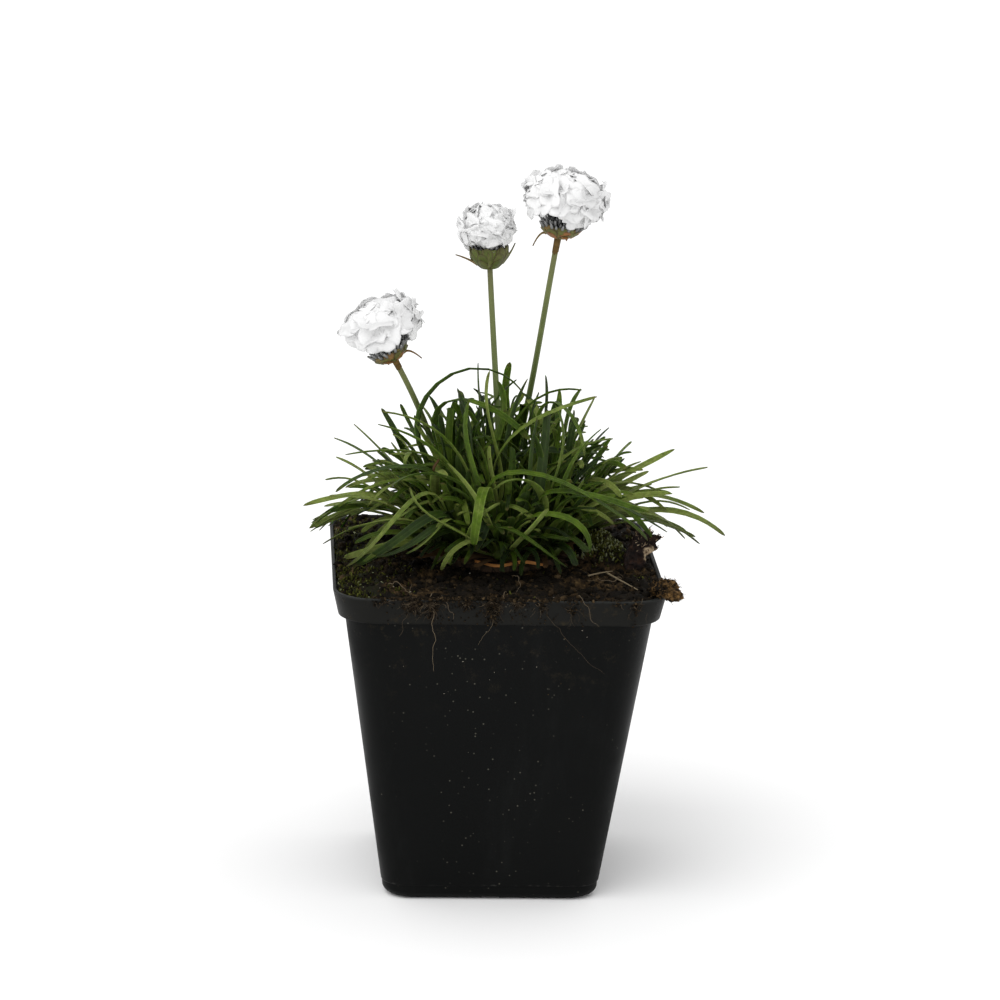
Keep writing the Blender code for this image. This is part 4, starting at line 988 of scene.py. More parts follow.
def soil_ring(half, height, roundness=CORNER_SHARE, middle=Vector()):
    """Returns a ring of points at even turns, at a height or on the soil's surface where that is None."""
    points = []
    for step in range(SOIL_SIDES):
        turn = FULL_TURN * (step + 0.5) / SOIL_SIDES
        reach = square_reach(half, roundness * half, turn)
        place = middle + Vector((reach * math.cos(turn), reach * math.sin(turn), 0))
        if height is None:
            place.z = soil_height(place.x, place.y) + crumb_height(place.x, place.y)
        else:
            place.z = height
        points.append(place)
    return points


def make_soil():
    """The root ball of peat, with a crumbly top and a pit for the rootstock."""
    rings = [soil_ring(half - GAP, height + GAP) for half, height in pot_inside()[:-1]]
    brim = RIM_HALF - WALL - GAP
    pit = CROWN_RADIUS + 3 * GAP
    for step in range(SOIL_RINGS):
        share = step / (SOIL_RINGS - 1)
        roundness = CORNER_SHARE + (1 - CORNER_SHARE) * share
        rings.append(soil_ring(brim + (pit - brim) * share, None, roundness, CROWN_CENTRE * share))
    for radius, height in reversed(ROOT_PROFILE):
        rings.append(soil_ring(radius * MM + 1.3 * GAP, height * MM - GAP, 1.0, CROWN_CENTRE))
    bm = bmesh.new()
    sweep(bm, rings)
    return finish_piece("peat_ball", bm, peat(), "soil")


def crumb_shapes(rng, count):
    """Returns a few rough lumps of about unit size."""
    shapes = []
    for index in range(count):
        bm = new_piece()
        bmesh.ops.create_icosphere(bm, subdivisions=1, radius=1.0)
        for vert in bm.verts:
            vert.co *= rng.uniform(0.65, 1.25)
        shapes.append(as_mesh(bm, f"crumb_{index}"))
    return shapes


def drop(surface, x, y):
    """Returns the point where something dropped on the soil lands, or None beside it."""
    return surface.ray_cast(Vector((x, y, 2 * POT_HEIGHT)), Vector((0, 0, -1)))[0]


def collar_spot(x, fall, out):
    """Returns a place before the collar's front, this far below the rim, or just inside it if it is 0."""
    if fall < 0.3 * MM:
        return Vector((x, -RIM_HALF + 0.6 * MM, POT_HEIGHT + 0.4 * MM))
    lean = (RIM_HALF - COLLAR_HALF) * min(fall / COLLAR_HEIGHT, 1.0)
    return Vector((x, -RIM_HALF + lean - out, POT_HEIGHT - min(fall, COLLAR_HEIGHT)))


def strewn_crumbs(surface, count, rng):
    """Gives the place, size and tint of the crumbs of peat, fibre and grit that lie over the soil."""
    reach = RIM_HALF - CRUMB_INSET
    for index in range(count):
        x, y = rng.uniform(-reach, reach), rng.uniform(-reach, reach)
        place = drop(surface, x, y)
        if place and apart(x, y, CROWN_CENTRE) > CRUMB_NEAREST:
            pale = rng.random() < GRIT_SHARE
            size = GRIT_SIZE if pale else 0.3 * MM + 1.5 * MM * rng.random() ** 4
            yield place, size, 1.0 if pale else min(rng.gauss(0.36, 0.24), 0.88)


def heaped_crumbs(count, rng):
    """Gives the same for those that heap up on the front rim, and those that fell down its collar."""
    for index in range(count):
        x = rng.gauss(HEAP_MIDDLE, HEAP_SPREAD) * MM
        out = abs(rng.gauss(0, 0.9)) * MM
        fall = rng.random() ** 2.2 * HEAP_FALL if rng.random() < 0.45 else 0.0
        if abs(x) > HEAP_REACH or fall > COLLAR_HEIGHT:
            continue
        if fall:
            y = -RIM_HALF + (RIM_HALF - COLLAR_HALF) * fall / COLLAR_HEIGHT - 0.15 * MM
            level = POT_HEIGHT - fall
            size = rng.uniform(0.12, 0.34) * MM
        else:
            y = max(-RIM_HALF + WALL - out, -RIM_HALF - 0.4 * MM)
            heap = math.exp(-((x / MM - HEAP_MIDDLE) / HEAP_WIDTH) ** 2)
            level = POT_HEIGHT + (0.1 + rng.uniform(0.0, 0.8) * heap) * MM
            size = rng.uniform(0.15, 0.7) * MM
        yield Vector((x, y, level)), size, min(rng.gauss(0.5, 0.2), 0.88)


def hanging_crumbs(rng):
    """Gives the same for those in the tufts that hang over the rim."""
    for middle, hang, spread, number in RIM_TUFTS:
        for index in range(number):
            fall = abs(rng.gauss(0, 0.45)) * hang * MM
            spot = collar_spot((middle + rng.gauss(0, 0.35) * spread) * MM, fall, rng.uniform(0.0, 0.5) * MM)
            yield spot, rng.uniform(0.15, 0.5) * MM, min(rng.gauss(0.45, 0.22), 0.85)


def face_specks(rng):
    """Gives the same for the dirt on the pot's front face."""
    for index in range(SPECK_COUNT):
        x, z = rng.uniform(-34, 34) * MM, rng.uniform(24, 82) * MM
        share = (z - FOOT_HEIGHT) / (POT_HEIGHT - COLLAR_HEIGHT - FOOT_HEIGHT)
        face = BASE_HALF + (BODY_TOP_HALF - BASE_HALF) * share
        if abs(x) < face * 0.72:
            pale = 1.0 if rng.random() < 0.35 else rng.uniform(0.5, 0.9)
            yield Vector((x, -face, z)), rng.uniform(0.1, 0.3) * MM, pale


def make_crumbs(surface, count):
    """Loose crumbs over the soil, over the front rim and on the pot's face below it."""
    rng = random.Random(SEED + 11)
    shapes = crumb_shapes(rng, CRUMB_SHAPES)
    bm = new_piece()
    for crumbs in (strewn_crumbs(surface, count, rng), heaped_crumbs(count // 5, rng), hanging_crumbs(rng),
                   face_specks(rng)):
        for place, size, tint in crumbs:
            flat = Matrix.Diagonal((size, size * rng.uniform(0.6, 1.0), size * rng.uniform(0.4, 0.8), 1.0))
            stamp(bm, rng.choice(shapes), Matrix.Translation(place) @ spin_about(rng) @ flat, tint)
    finish_piece("loose_crumbs", bm, crumb_finish())


def moss_shoot():
    """Returns a tiny tapering shoot with whorls of stubby leaves, one unit tall."""
    bm = new_piece()
    profile = ((0.16, 0.0), (0.34, 0.25), (0.14, 0.38), (0.3, 0.58), (0.12, 0.7), (0.2, 0.85), (0.02, 1.0))
    sweep(bm, [circle(radius, height, 4) for radius, height in profile])
    for vert in bm.verts:
        mark(bm, [vert], along=vert.co.z)
    return as_mesh(bm, "moss_shoot")


def moss_here(x, y, rng):
    """Tells whether moss grows at a place: on the left edge and corners, on the lump, and in stray tufts."""
    patch = noise.noise(Vector((x, y, 5 * MM)) / (6 * MM))
    left = (-x - 25 * MM) / (17 * MM)
    lump = 1.25 - apart(x, y, LUMP_CENTRE) / (8.5 * MM)
    return rng.random() < max(left * 0.8 + patch * 0.8, lump, patch * 0.8 - 0.25)


def make_moss(surface, count):
    """Moss on the left of the pot, on the lump to the right and in stray tufts."""
    rng = random.Random(SEED + 12)
    shoot = moss_shoot()
    bm = new_piece()
    reach = RIM_HALF - MOSS_INSET
    for index in range(count):
        x, y = rng.uniform(-reach, reach), rng.uniform(-reach, reach)
        if index % 6 == 0:
            x = LUMP_CENTRE.x + rng.gauss(0, LUMP_SPREAD) * MM
            y = LUMP_CENTRE.y + rng.gauss(0, LUMP_SPREAD) * MM
        place = drop(surface, x, y)
        if not place or not moss_here(x, y, rng):
            continue
        on_lump = apart(x, y, LUMP_CENTRE) < 10 * MM
        tall = rng.uniform(0.5, 1.5) * MM
        lean = Matrix.Rotation(rng.uniform(0, 1.3), 4, Vector((rng.uniform(-1, 1), rng.uniform(-1, 1), 0)))
        size = Matrix.Diagonal((tall * 0.8, tall * 0.8, tall, 1.0))
        tint = rng.uniform(0.1, 1.25) if on_lump else rng.gauss(0.42, 0.24)
        stamp(bm, shoot, Matrix.Translation(place - UPRIGHT * 0.2 * MM) @ lean @ size, tint)
    finish_piece("moss", bm, moss_finish())


# The leaves


def rosette_places():
    """Returns a matrix for each rosette, with +Z along its axis and its origin on the crown's surface."""
    places = [Matrix.Translation(CROWN_CENTRE + Vector((0, 0, CROWN_TOP)))]
    for step in range(RING_COUNT):
        outward = Matrix.Rotation(FULL_TURN * step / RING_COUNT, 4, "Z")
        shift = Matrix.Translation((RING_RADIUS, 0, CROWN_TOP - RING_DROP))
        lean = Matrix.Rotation(math.radians(RING_LEAN), 4, "Y")
        places.append(Matrix.Translation(CROWN_CENTRE) @ outward @ shift @ lean)
    return places


def flower_frame(flower):
    """Returns a flower head's matrix, with +Z along its axis and its origin where the stem joins it."""
    turn = Matrix.Rotation(math.radians(flower["azimuth"]), 4, "Z")
    lean = Matrix.Rotation(math.radians(flower["tilt"]), 4, "Y")
    return Matrix.Translation(Vector(flower["joint"]) * MM) @ turn @ lean


def stem_control(flower, foot_frame):
    """Returns the control points of a stem that leaves its rosette and meets its head along their axes."""
    head = flower_frame(flower)
    foot = foot_frame @ Vector((0, 0, PLUG_TOP - STEM_SINK))
    joint = head @ Vector((0, 0, flower["cup_height"] * MM * 0.4))
    pull = (joint - foot).length * STEM_PULL
    upward = foot_frame.to_3x3() @ Vector((0, 0, pull)) + Vector((flower["sway"] * MM, 0, 0))
    return [foot, foot + upward, joint - head.to_3x3() @ Vector((0, 0, pull)), joint]


def stem_rings(flower, foot_frame, steps, sides, slimmer=1.0):
    """Returns the rings of a stem, or of one that is slimmer by a factor."""
    path = curve_points(stem_control(flower, foot_frame), steps)
    taper = (STEM_TOP_RADIUS - STEM_FOOT_RADIUS) / steps
    radii = [slimmer * (STEM_FOOT_RADIUS + taper * step) for step in range(steps + 1)]
    return tube_rings(path, radii, sides)


def level_side(flat):
    """Returns the level direction across a leaf that runs this way, or +X if it stands upright."""
    side = Vector((flat.y, -flat.x, 0))
    return side.normalized() if side.length > MM else Vector((1, 0, 0))


def blade_rings(control, width, room=0.0):
    """Returns plain three-sided rings of a leaf, with some room round it, to test what it would touch."""
    path = curve_points(control, LEAF_STEPS)
    side = level_side(path[LEAF_STEPS] - path[0])
    rings = []
    for share, breadth in LEAF_STATIONS:
        index = round(share * LEAF_STEPS)
        along = path[min(index + 1, LEAF_STEPS)] - path[max(index - 1, 0)]
        up = side.cross(along).normalized()
        middle = path[index] + up * room
        if index == LEAF_STEPS:
            middle += along.normalized() * room
        half = side * (width * breadth / 2 + 2 * room)
        keel = LEAF_DEPTH * max(breadth, TIP_DEPTH) + 2.5 * room
        rings.append([middle - half, middle + half, middle - up * keel])
    return rings


def leaf_control(root, tip, rise, bow, aim):
    """Returns the control points of a leaf that sets off between aim and chord, arches and bows aside."""
    chord = tip - root
    aside = Vector((chord.y, -chord.x, 0)) * bow
    lift = Vector((0, 0, chord.length * rise)) + aim * (chord.length * LEAF_START)
    return [root, root + chord * LEAF_CREST + aside + lift, tip]


def leaf_root(index, count, place, flowering):
    """Returns where a leaf leaves its rosette's plug, sunk a little into it."""
    nearest = FOOT_BY_STEM if flowering else FOOT_NEAREST
    reach = nearest + (FOOT_FURTHEST - nearest) * math.sqrt((index + 0.5) / count)
    turn = index * GOLDEN_TURN
    height = PLUG_TOP - FOOT_SINK - FOOT_DROP * (reach / FOOT_FURTHEST) ** 2
    return place @ Vector((reach * math.cos(turn), reach * math.sin(turn), height))


def outside_tuft(point):
    """Tells whether a point lies outside the tuft's envelope, a low dome with sloping shoulders."""
    out = point - CROWN_CENTRE - Vector((0, 0, CROWN_TOP))
    depth = TUFT_REACH.y if out.y > 0 else TUFT_FRONT
    reaches = (TUFT_REACH.x, depth, TUFT_REACH.z)
    return sum(abs(size / reach) ** TUFT_POWER for size, reach in zip(out, reaches)) > 1


def rule_tip(index, count, place, root, rng):
    """Returns a leaf's tip, rise and width by rule: inner leaves upright, outer ones spread."""
    share = (index + 0.5) / count
    spread = LEAF_SPREAD + LEAF_SPREAD_ADDED * share + rng.uniform(-LEAF_SPREAD_RANGE, LEAF_SPREAD_RANGE)
    spread = math.radians(spread)
    turn = index * GOLDEN_TURN + rng.uniform(-LEAF_TURN_RANGE, LEAF_TURN_RANGE)
    length = rng.uniform(*LEAF_LENGTH)
    aim = Vector((math.sin(spread) * math.cos(turn), math.sin(spread) * math.sin(turn), math.cos(spread)))
    aim = place.to_3x3() @ aim
    outward = root - CROWN_CENTRE
    aim += Vector((outward.x, outward.y, 0)) * (LEAF_OUTWARD / RING_RADIUS)
    aim.z = max(aim.z, LEAF_LOWEST_AIM)
    tip = root + aim.normalized() * length
    while outside_tuft(tip):
        tip = root.lerp(tip, 0.95)
    return tip, rng.uniform(*LEAF_RISE) + LEAF_RISE_ADDED * share, rng.uniform(*LEAF_WIDTH)


def clear_of(rings, trees):
    """Tells whether a swept surface crosses none of the trees."""
    mine = tree_of_rings(rings)
    return not any(mine.overlap(tree) for tree in trees)


def fitted_leaf(root, tip, rise, width, aim, trees, rng, tries):
    """Returns a leaf's control points, its tip shifted as little as it takes to clear what is round it."""
    bow = rng.uniform(-LEAF_BOW, LEAF_BOW)
    for attempt in range(tries):
        reach = attempt * TRY_SHIFT
        shift = Vector((rng.uniform(-1, 1), rng.uniform(-1, 1), rng.uniform(-0.7, 1))) * reach
        bend = rise + rng.uniform(-TRY_BEND, TRY_BEND) * attempt
        control = leaf_control(root, tip + shift, max(bend, 0.0), bow, aim)
        if clear_of(blade_rings(control, width, LEAF_CLEARANCE), trees):
            return control
    return None


def nearest_rosette(tip):
    """Returns which rosette a leaf with this tip grows from: the middle one or the one on its side."""
    level = Vector((tip.x, tip.y, 0)) - CROWN_CENTRE
    if level.length < RING_RADIUS * 0.9:
        return 0
    turn = math.atan2(level.y, level.x) / FULL_TURN * RING_COUNT
    return 1 + round(turn) % RING_COUNT


def facing_spot(place, tip):
    """Returns the place in a rosette's spiral of leaves, towards its edge, that faces a tip."""
    local = place.inverted() @ tip
    turn = math.atan2(local.y, local.x)
    outer = range(LEAVES_EACH // 3, LEAVES_EACH)
    return min(outer, key=lambda spot: abs(math.remainder(spot * GOLDEN_TURN - turn, FULL_TURN)))


def plug_rings(place, sides=PLUG_SIDES):
    """Returns the rings of the plug of leaf sheaths that a rosette's leaves grow from."""
    return [circle(radius * MM, height * MM, sides, place) for radius, height in PLUG_PROFILE]


def ends_low(control):
    """Tells whether a leaf ends low and near the tuft's middle, where the leaves are slender and get painted
    shade.
    """
    tip = control[-1]
    return tip.z < CROWN_TOP + 9 * MM and abs(tip.x) < 30 * MM


def leaf_tint_and_painted_light(control, rng):
    """Returns a leaf's tint, its own colour at random together with painted light and shade: outer leaves are
    painted brighter as lit, inner ones, low ones and those behind darker as shaded.
    """
    tip = control[-1]
    # Painted light and shade: brighter at the front and on the flanks, darker behind and low; the random
    # spread below is the leaves' own colour.
    light = 0.38 + 0.003 * (CROWN_CENTRE.y - tip.y) / MM + 0.022 * max(abs(tip.x) / MM - 20, 0)
    if ends_low(control):
        light -= 0.25
    return min(max(light + rng.gauss(0, 0.27), 0.0), 1.0)


def grow_rosettes(obstacles, extra_each):
    """Returns each rosette's leaves: control points, width, tint and how limp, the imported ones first."""
    frames = rosette_places()
    flowering = {flower["rosette"] for flower in FLOWERS}
    grown = [[] for place in frames]
    trees = [[tree_of_rings(plug_rings(place))] for place in frames]
    own = [0] * len(frames)
    tints = random.Random(SEED + 13)

    def grow(rosette, spot, tip, rise, width):
        rng = random.Random(SEED + 1000 * rosette + len(grown[rosette]))
        root = leaf_root(spot, LEAVES_EACH, frames[rosette], rosette + 1 in flowering)
        chosen = tip is not None
        if not chosen:
            tip, rise, width = rule_tip(spot, LEAVES_EACH, frames[rosette], root, rng)
        others = [tree for number, group in enumerate(trees) if number != rosette for tree in group]
        aim = frames[rosette].to_3x3() @ UPRIGHT
        control = fitted_leaf(root, tip, rise, width, aim, obstacles + others, rng, LEAF_TRIES)
        if control:
            limp = 0.0 if chosen else tints.uniform(0, BLADE_LIMP)
            grown[rosette].append((control, width, leaf_tint_and_painted_light(control, tints), limp))
            trees[rosette].append(tree_of_rings(blade_rings(control, width)))

    for place, rise, width in OUTLINE_LEAVES:
        tip = Vector(place) * MM
        rosette = nearest_rosette(tip)
        grow(rosette, facing_spot(frames[rosette], tip), tip, rise, width * MM)
        own[rosette] += 1
    for index in range(LEAVES_EACH):
        for rosette in range(len(frames)):
            left = LEAVES_EACH - own[rosette]
            if index < left:
                grow(rosette, index * LEAVES_EACH / left, None, 0, 0)
    add_front_leaves(grown, frames, obstacles)
    for rosette, place in enumerate(frames):
        add_extra_leaves(grown[rosette], rosette, place, obstacles, extra_each, tints)
    return grown


def add_front_leaves(grown, frames, obstacles):
    """Adds the chosen leaves that cross in front, shifted a little where something is in the way."""
    rng = random.Random(SEED + 14)
    for *places, width, tint in FRONT_LEAVES:
        points = [Vector(place) * MM for place in places]
        rosette = nearest_rosette(points[0])
        root = leaf_root(facing_spot(frames[rosette], points[0]), LEAVES_EACH, frames[rosette], False)
        for attempt in range(FRONT_TRIES):
            shift = stray(rng, 1) * attempt * 0.1 * MM
            control = curve_through([root] + [point + shift for point in points])
            if clear_of(blade_rings(control, width * MM), obstacles):
                grown[rosette].append((control, width * MM, tint, 0.0))
                break


def hides_lump(control):
    """Tells whether a leaf hangs before the mossy lump."""
    spots = [bezier(control, share) for share in (0.5, 0.65, 0.8, 0.9, 1.0)]
    return any(abs(spot.x - LUMP_CENTRE.x) < 8 * MM and spot.y < 4 * MM and spot.z < CROWN_TOP + 10 * MM
               for spot in spots)


def add_extra_leaves(leaves, rosette, place, obstacles, count, tints):
    """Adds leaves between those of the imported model, by the same rule and inside the same envelope."""
    rng = random.Random(SEED + 15 + rosette)
    for index in range(count):
        spot = index + 0.37
        root = leaf_root(spot, count, place, False)
        tip, rise, width = rule_tip(spot, count, place, root, rng)
        width *= EXTRA_WIDTH
        rise += rng.uniform(0, EXTRA_RISE)
        control = fitted_leaf(root, tip, rise, width, place.to_3x3() @ UPRIGHT, obstacles, rng, EXTRA_TRIES)
        if control and not hides_lump(control):
            leaves.append((control, width, leaf_tint_and_painted_light(control, tints), rng.uniform(0, BLADE_LIMP)))


def blade_breadth(share, blunt):
    """Returns a leaf's breadth at a share of its length: a strap, narrower at its ends, with a round tip."""
    foot = 0.8 + 0.2 * min(share / 0.3, 1.0)
    strap = 1 - 0.28 * max(share - 0.45, 0.0) / 0.55
    tip = max(share - blunt, 0.0) / (1 - blunt)
    return foot * strap * math.sqrt(max(1 - tip * tip, 0.0)) + 0.03


def fine_blade(control, width, limp, rng):
    """Returns the rings of a finished leaf: a channel above, a keel below, a twist and a round tip."""
    flat = control[-1] - control[0]
    side = level_side(flat)
    twist = rng.uniform(-BLADE_TWIST, BLADE_TWIST)
    roll = BLADE_ROLL * flat.x / max(flat.length, MM) if control[-1].y < CROWN_CENTRE.y + 12 * MM else 0.0
    blunt = 0.95 if width > BROAD else rng.choice((0.72, 0.86, 0.92, 0.95))
    waves = rng.uniform(0, FULL_TURN)
    length = sum((second - first).length for first, second in zip(control, control[1:]))
    sway = [length * rng.uniform(-BLADE_WAVE, BLADE_WAVE) for axis in range(2)]
    lean = side * (length * limp * rng.uniform(-1, 1)) - UPRIGHT * (length * limp * rng.random())
    rings = []
    for share in BLADE_SHARES:
        before, after = bezier(control, max(share - 0.02, 0.0)), bezier(control, min(share + 0.02, 1.0))
        along = (after - before).normalized()
        turn = Matrix.Rotation(roll + twist * share + 0.1 * math.sin(9 * share + waves), 3, along)
        out = turn @ side
        up = out.cross(along).normalized()
        breadth = blade_breadth(share, blunt)
        half = width / 2 * BLADE_SLIMMER * breadth
        deep = BLADE_DEPTH * (0.35 + 0.65 * breadth)
        bend = math.sin(FULL_TURN * share) * share
        middle = bezier(control, share) + side * (sway[0] * bend) + up * (sway[1] * bend) + lean * share ** 3
        rings.append([middle + out * (across * half) + up * (lift * deep) for across, lift in BLADE_OUTLINE])
    return rings


def add_blade(bm, control, width, tint, rng, limp=0.0):
    """Adds a finished leaf to a mesh."""
    blade = new_piece()
    rows = sweep(blade, fine_blade(control, width, limp, rng))
    for row, share in zip(rows, BLADE_SHARES):
        mark(blade, row, tint=tint, along=share)
        for vert, (across, lift) in zip(row, BLADE_OUTLINE):
            mark(blade, [vert], across=across, under=1.0 if lift < UNDERSIDE else 0.0)
    pour(bm, blade)


def make_rosette(number, place, leaves, finish):
    """A leafy shoot: its plug of sheaths and its finished leaves."""
    rng = random.Random(SEED + 40 + number)
    bm = new_piece()
    sweep(bm, plug_rings(place, 16))
    mark(bm, bm.verts, tint=0.5, along=0.1)
    for control, width, tint, limp in leaves:
        if limp == 0.0 or not hides_lump(control):
            slim = LOW_SLIMMER if limp and ends_low(control) else 1.0
            add_blade(bm, control, width * slim, tint, rng, limp)
    finish_piece(f"leaves_{number}", bm, finish, f"rosette_{number}", 70)


def make_dry_sheaths(frames):
    """Brown dry leaf bases round each rosette, and the dead leaf end among the green."""
    rng = random.Random(SEED + 16)
    bm = new_piece()
    for place in frames:
        for index in range(SHEATHS_EACH):
            outward = heading(index * GOLDEN_TURN + rng.uniform(-0.3, 0.3))
            long = rng.uniform(5, 12) * MM
            root = outward * SHEATH_FOOT + UPRIGHT * 1.5 * MM
            crest = outward * (SHEATH_FOOT + long * 0.5) + UPRIGHT * rng.uniform(3, 6) * MM
            end = outward * (SHEATH_FOOT + long) + UPRIGHT * rng.uniform(0.5, 5) * MM
            control = [place @ root, place @ crest, place @ end]
            control[2].z = max(control[2].z, SHEATH_LOWEST)
            add_blade(bm, control, rng.uniform(1.2, 2.2) * MM, rng.random() * 0.7, rng)
    add_blade(bm, [Vector(point) * MM for point in ORANGE_BIT], 1.6 * MM, 2.0, rng)
    finish = dry_finish("dry_sheath", (0.012, 0.008, 0.005), (0.085, 0.048, 0.02))
    finish_piece("dry_sheaths", bm, finish, crease=70)


# The flowers


def make_stem(number, flower, place, finish):
    """A leafless flower stem."""
    bm = new_piece()
    steps = 30
    for step, row in enumerate(sweep(bm, stem_rings(flower, place, steps, STEM_SIDES, STEM_SLIMMER))):
        mark(bm, row, along=step / steps, tint=0.5)
    finish_piece(f"stem_{number}", bm, finish, f"flower_stem_{number}")


def cup_radius(flower, share):
    """Returns the outer radius of a cup of bracts at a share of its height, from the stem to the lip."""
    bore = STEM_TOP_RADIUS + GAP + CUP_WALL
    wide = flower["cup_radius"] * MM
    drawn_in = max(share - 0.75, 0) * 0.12 * wide
    return bore + (wide - bore) * math.sin(min(share / 0.75, 1.0) * math.pi / 2) - drawn_in


def cup_scale(flower, place, base, tall, turn, width, tint, rng):
    """Returns one scale of the cup, a small sheet that hugs the cup and stands off at its tip."""
    bm = new_piece()
    bmesh.ops.create_grid(bm, x_segments=5, y_segments=6, size=1.0)
    height = flower["cup_height"] * MM
    flare = rng.uniform(0.1, 0.45) * MM
    for vert in bm.verts:
        across, up = vert.co.x, (vert.co.y + 1) / 2
        breadth = math.sqrt(max(1 - (max(up - 0.35, 0) / 0.65) ** 2.2, 0.0))
        breadth *= 0.75 + 0.25 * min(up / 0.35, 1)
        level = base + tall * up
        out = cup_radius(flower, min(level / height, 1.0)) + 0.12 * MM + flare * up * up
        out += 0.12 * MM * (1 - across ** 2)
        angle = turn + across * breadth * width / 2 / max(out, 1.5 * MM)
        mark(bm, [vert], tint=tint, along=up, across=across)
        vert.co = place @ Vector((out * math.cos(angle), out * math.sin(angle), level))
    return bm


def bract_control(flower, place, turn, reach, rise):
    """Returns the control points of a bract on the side of the cup, with its tip this far out and up."""
    radius = flower["cup_radius"] * MM
    height = flower["cup_height"] * MM
    outward = heading(turn)
    points = ((radius * 0.62, height * 0.25), (radius * 1.05, max(height * 0.55, rise * 0.5)), (reach, rise))
    return [place @ (outward * out + UPRIGHT * up) for out, up in points]


def inner_cup(flower, place, tint):
    """Returns the closed cup under the scales, a turned profile with a bore for the stem."""
    height = flower["cup_height"] * MM
    bore = STEM_TOP_RADIUS + 0.05 * MM
    profile = [(bore, 0.0)] + [(cup_radius(flower, step / 10), height * step / 10) for step in range(11)]
    profile += [(cup_radius(flower, 1.0) - 0.5 * MM, height),
                (flower["cup_radius"] * MM * 0.55, height * 0.55), (bore, height * 0.42)]
    cup = new_piece()
    corners = [cup.verts.new((out, 0, up)) for out, up in profile]
    edges = [cup.edges.new((corners[index - 1], corners[index])) for index in range(len(corners))]
    bmesh.ops.spin(cup, geom=corners + edges, axis=(0, 0, 1), cent=(0, 0, 0), angle=FULL_TURN,
                   steps=36, use_merge=True)
    bmesh.ops.remove_doubles(cup, verts=cup.verts, dist=0.005 * MM)
    bmesh.ops.transform(cup, matrix=place, verts=cup.verts)
    mark(cup, cup.verts, tint=tint, along=0.3)
    return cup


def make_involucre(number, flower, finish):
    """The cup under a head: a closed inner cup, rows of overlapping scales and a few long outer bracts."""
    place = flower_frame(flower)
    rng = random.Random(SEED + 20 + number)
    height = flower["cup_height"] * MM
    warm = 0.1 if number == 2 else 0.45
    bm = new_piece()
    pour(bm, inner_cup(flower, place, warm))
    for row, (base, tall, count, width) in enumerate(CUP_ROWS):
        for index in range(count):
            turn = FULL_TURN * (index + 0.5 * row + rng.uniform(-0.12, 0.12)) / count
            tint = max(warm + rng.gauss(0, 0.16) + (0.25 if row == 2 and number != 2 else 0.0), 0.0)
            scale = cup_scale(flower, place, base * height, tall * height, turn, width * MM, tint, rng)
            thicken(scale, 0.18 * MM)
            pour(bm, scale)
    for index in range(BRACT_COUNT):
        tint = rng.uniform(0.15, 0.4) if number == 2 else rng.uniform(0.45, 1.0)
        turn = FULL_TURN * (index + 0.3) / BRACT_COUNT
        reach = flower["cup_radius"] * MM * rng.uniform(1.02, 1.14)
        control = bract_control(flower, place, turn, reach, height * rng.uniform(0.95, 1.12))
        add_thin_blade(bm, control, 1.9 * MM, 0.3 * MM, tint)
    for azimuth, out, up, width, tint in flower["horns"]:
        turn = math.radians(azimuth - flower["azimuth"])
        control = bract_control(flower, place, turn, out * MM, up * MM)
        add_thin_blade(bm, control, width * MM, 0.65 * MM, tint)
    finish_piece(f"bracts_{number}", bm, finish, f"involucre_{number}", 60)


def thicken(bm, thickness):
    """Gives a thin sheet its thickness."""
    bmesh.ops.recalc_face_normals(bm, faces=bm.faces)
    bmesh.ops.solidify(bm, geom=bm.faces, thickness=thickness)


def add_thin_blade(bm, control, width, depth, tint):
    """Adds a narrow papery blade that tapers to a point."""
    blade = new_piece()
    flat = control[2] - control[0]
    side = flat.cross(UPRIGHT)
    side = side.normalized() if side.length > 0.1 * MM else Vector((1, 0, 0))
    shares = [step / 9 for step in range(10)]
    rings = []
    for share in shares:
        along = (control[1] - control[0]).lerp(control[2] - control[1], share).normalized()
        up = side.cross(along).normalized()
        half = side * (width / 2 * (1 - 0.88 * share ** 1.6))
        middle = bezier(control, share)
        keel = up * (depth * (1 - 0.7 * share))
        rings.append([middle - half, middle + up * depth * 0.2, middle + half, middle - keel])
    for row, share in zip(sweep(blade, rings), shares):
        mark(blade, row, tint=tint, along=share)
    pour(bm, blade)


def make_stem_sheath(number, flower, place, finish):
    """The brown papery sheath that hangs round the stem under a head, torn at its lower edge."""
    rng = random.Random(SEED + 30 + number)
    control = stem_control(flower, place)
    sides = 18
    shares = [0.99 - SHEATH_SHARE * step / 8 for step in range(9)]
    path = [bezier(control, share) for share in shares]
    radii = [STEM_TOP_RADIUS * STEM_SLIMMER + (0.22 - 0.012 * step) * MM for step in range(9)]
    bm = new_piece()
    rows = sweep(bm, tube_rings(path, radii, sides))
    caps = [face for face in bm.faces if len(face.verts) == sides]
    bmesh.ops.delete(bm, geom=caps, context="FACES")
    for vert in rows[-1] + rows[-2]:
        vert.co += (path[-1] - path[-2]).normalized() * rng.uniform(-0.5, 0.9) * MM
    for step, row in enumerate(rows):
        mark(bm, row, tint=rng.uniform(0.2, 0.8), along=step / 8)
    thicken(bm, 0.14 * MM)
    finish_piece(f"stem_sheath_{number}", bm, finish)


def head_shape(flower):
    """Returns the height of a head's middle, and its half width and half height."""
    around, below, above = flower["trim"]
    top = (flower["top"] - above) * MM
    bottom = (flower["bottom"] + below) * MM
    return (top + bottom) / 2, (flower["radius"] - around) * MM, (top - bottom) / 2


